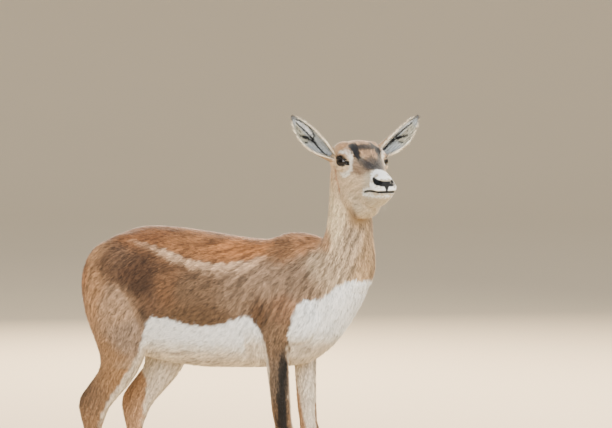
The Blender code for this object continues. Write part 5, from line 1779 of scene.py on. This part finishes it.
class BLACKBUCK_OT_ears(bpy.types.Operator):
    """Make both ears with their hair"""

    bl_idname = "blackbuck.ears"
    bl_label = "Ears"

    def execute(self, context):
        for side in SIDES:
            build_ear(side)
        return {"FINISHED"}


class BLACKBUCK_OT_eyes(bpy.types.Operator):
    """Make both eyes with the edges of their lids and their lashes"""

    bl_idname = "blackbuck.eyes"
    bl_label = "Eyes"

    def execute(self, context):
        for side in SIDES:
            build_eyeball(side, context.scene.blackbuck_colours)
            build_lid_edge(side)
            build_lashes(side)
        return {"FINISHED"}


class BLACKBUCK_OT_whiskers(bpy.types.Operator):
    """Set the fine stiff hairs round the mouth"""

    bl_idname = "blackbuck.whiskers"
    bl_label = "Whiskers"

    def execute(self, context):
        build_whiskers()
        return {"FINISHED"}


class BLACKBUCK_OT_claws(bpy.types.Operator):
    """Make the claws of all four feet and the dewclaws"""

    bl_idname = "blackbuck.claws"
    bl_label = "Claws"

    def execute(self, context):
        build_claws(context.scene.blackbuck_colours)
        return {"FINISHED"}


class BLACKBUCK_OT_stage(bpy.types.Operator):
    """Set the floor, the lights and the camera"""

    bl_idname = "blackbuck.stage"
    bl_label = "Stage"

    def execute(self, context):
        build_stage(context.scene.blackbuck_stage)
        return {"FINISHED"}


OPERATORS = (
    BLACKBUCK_OT_skin,
    BLACKBUCK_OT_coat,
    BLACKBUCK_OT_ears,
    BLACKBUCK_OT_eyes,
    BLACKBUCK_OT_whiskers,
    BLACKBUCK_OT_claws,
    BLACKBUCK_OT_stage,
)
GROUPS = {
    "blackbuck_coat": BLACKBUCK_PG_coat,
    "blackbuck_colours": BLACKBUCK_PG_colours,
    "blackbuck_stage": BLACKBUCK_PG_stage,
}


class BLACKBUCK_PT_panel(bpy.types.Panel):
    """The builder's panel in the 3D view's sidebar"""

    bl_idname = "BLACKBUCK_PT_panel"
    bl_label = "Hornless blackbuck"
    bl_space_type = "VIEW_3D"
    bl_region_type = "UI"
    bl_category = "Blackbuck"

    def draw(self, context):
        for name, group in GROUPS.items():
            box = self.layout.box()
            for field in group.__annotations__:
                box.prop(getattr(context.scene, name), field)
        for operator in OPERATORS:
            self.layout.operator(operator.bl_idname)


CLASSES = (*GROUPS.values(), *OPERATORS, BLACKBUCK_PT_panel)


def register():
    for made in CLASSES:
        bpy.utils.register_class(made)
    for name, group in GROUPS.items():
        setattr(bpy.types.Scene, name, bpy.props.PointerProperty(type=group))


def unregister():
    for name in GROUPS:
        delattr(bpy.types.Scene, name)
    for made in reversed(CLASSES):
        bpy.utils.unregister_class(made)


def main():
    register()
    bpy.ops.blackbuck.skin()
    bpy.ops.blackbuck.coat()
    bpy.ops.blackbuck.ears()
    bpy.ops.blackbuck.eyes()
    bpy.ops.blackbuck.whiskers()
    bpy.ops.blackbuck.claws()
    bpy.ops.blackbuck.stage()


if __name__ == "__main__":
    main()
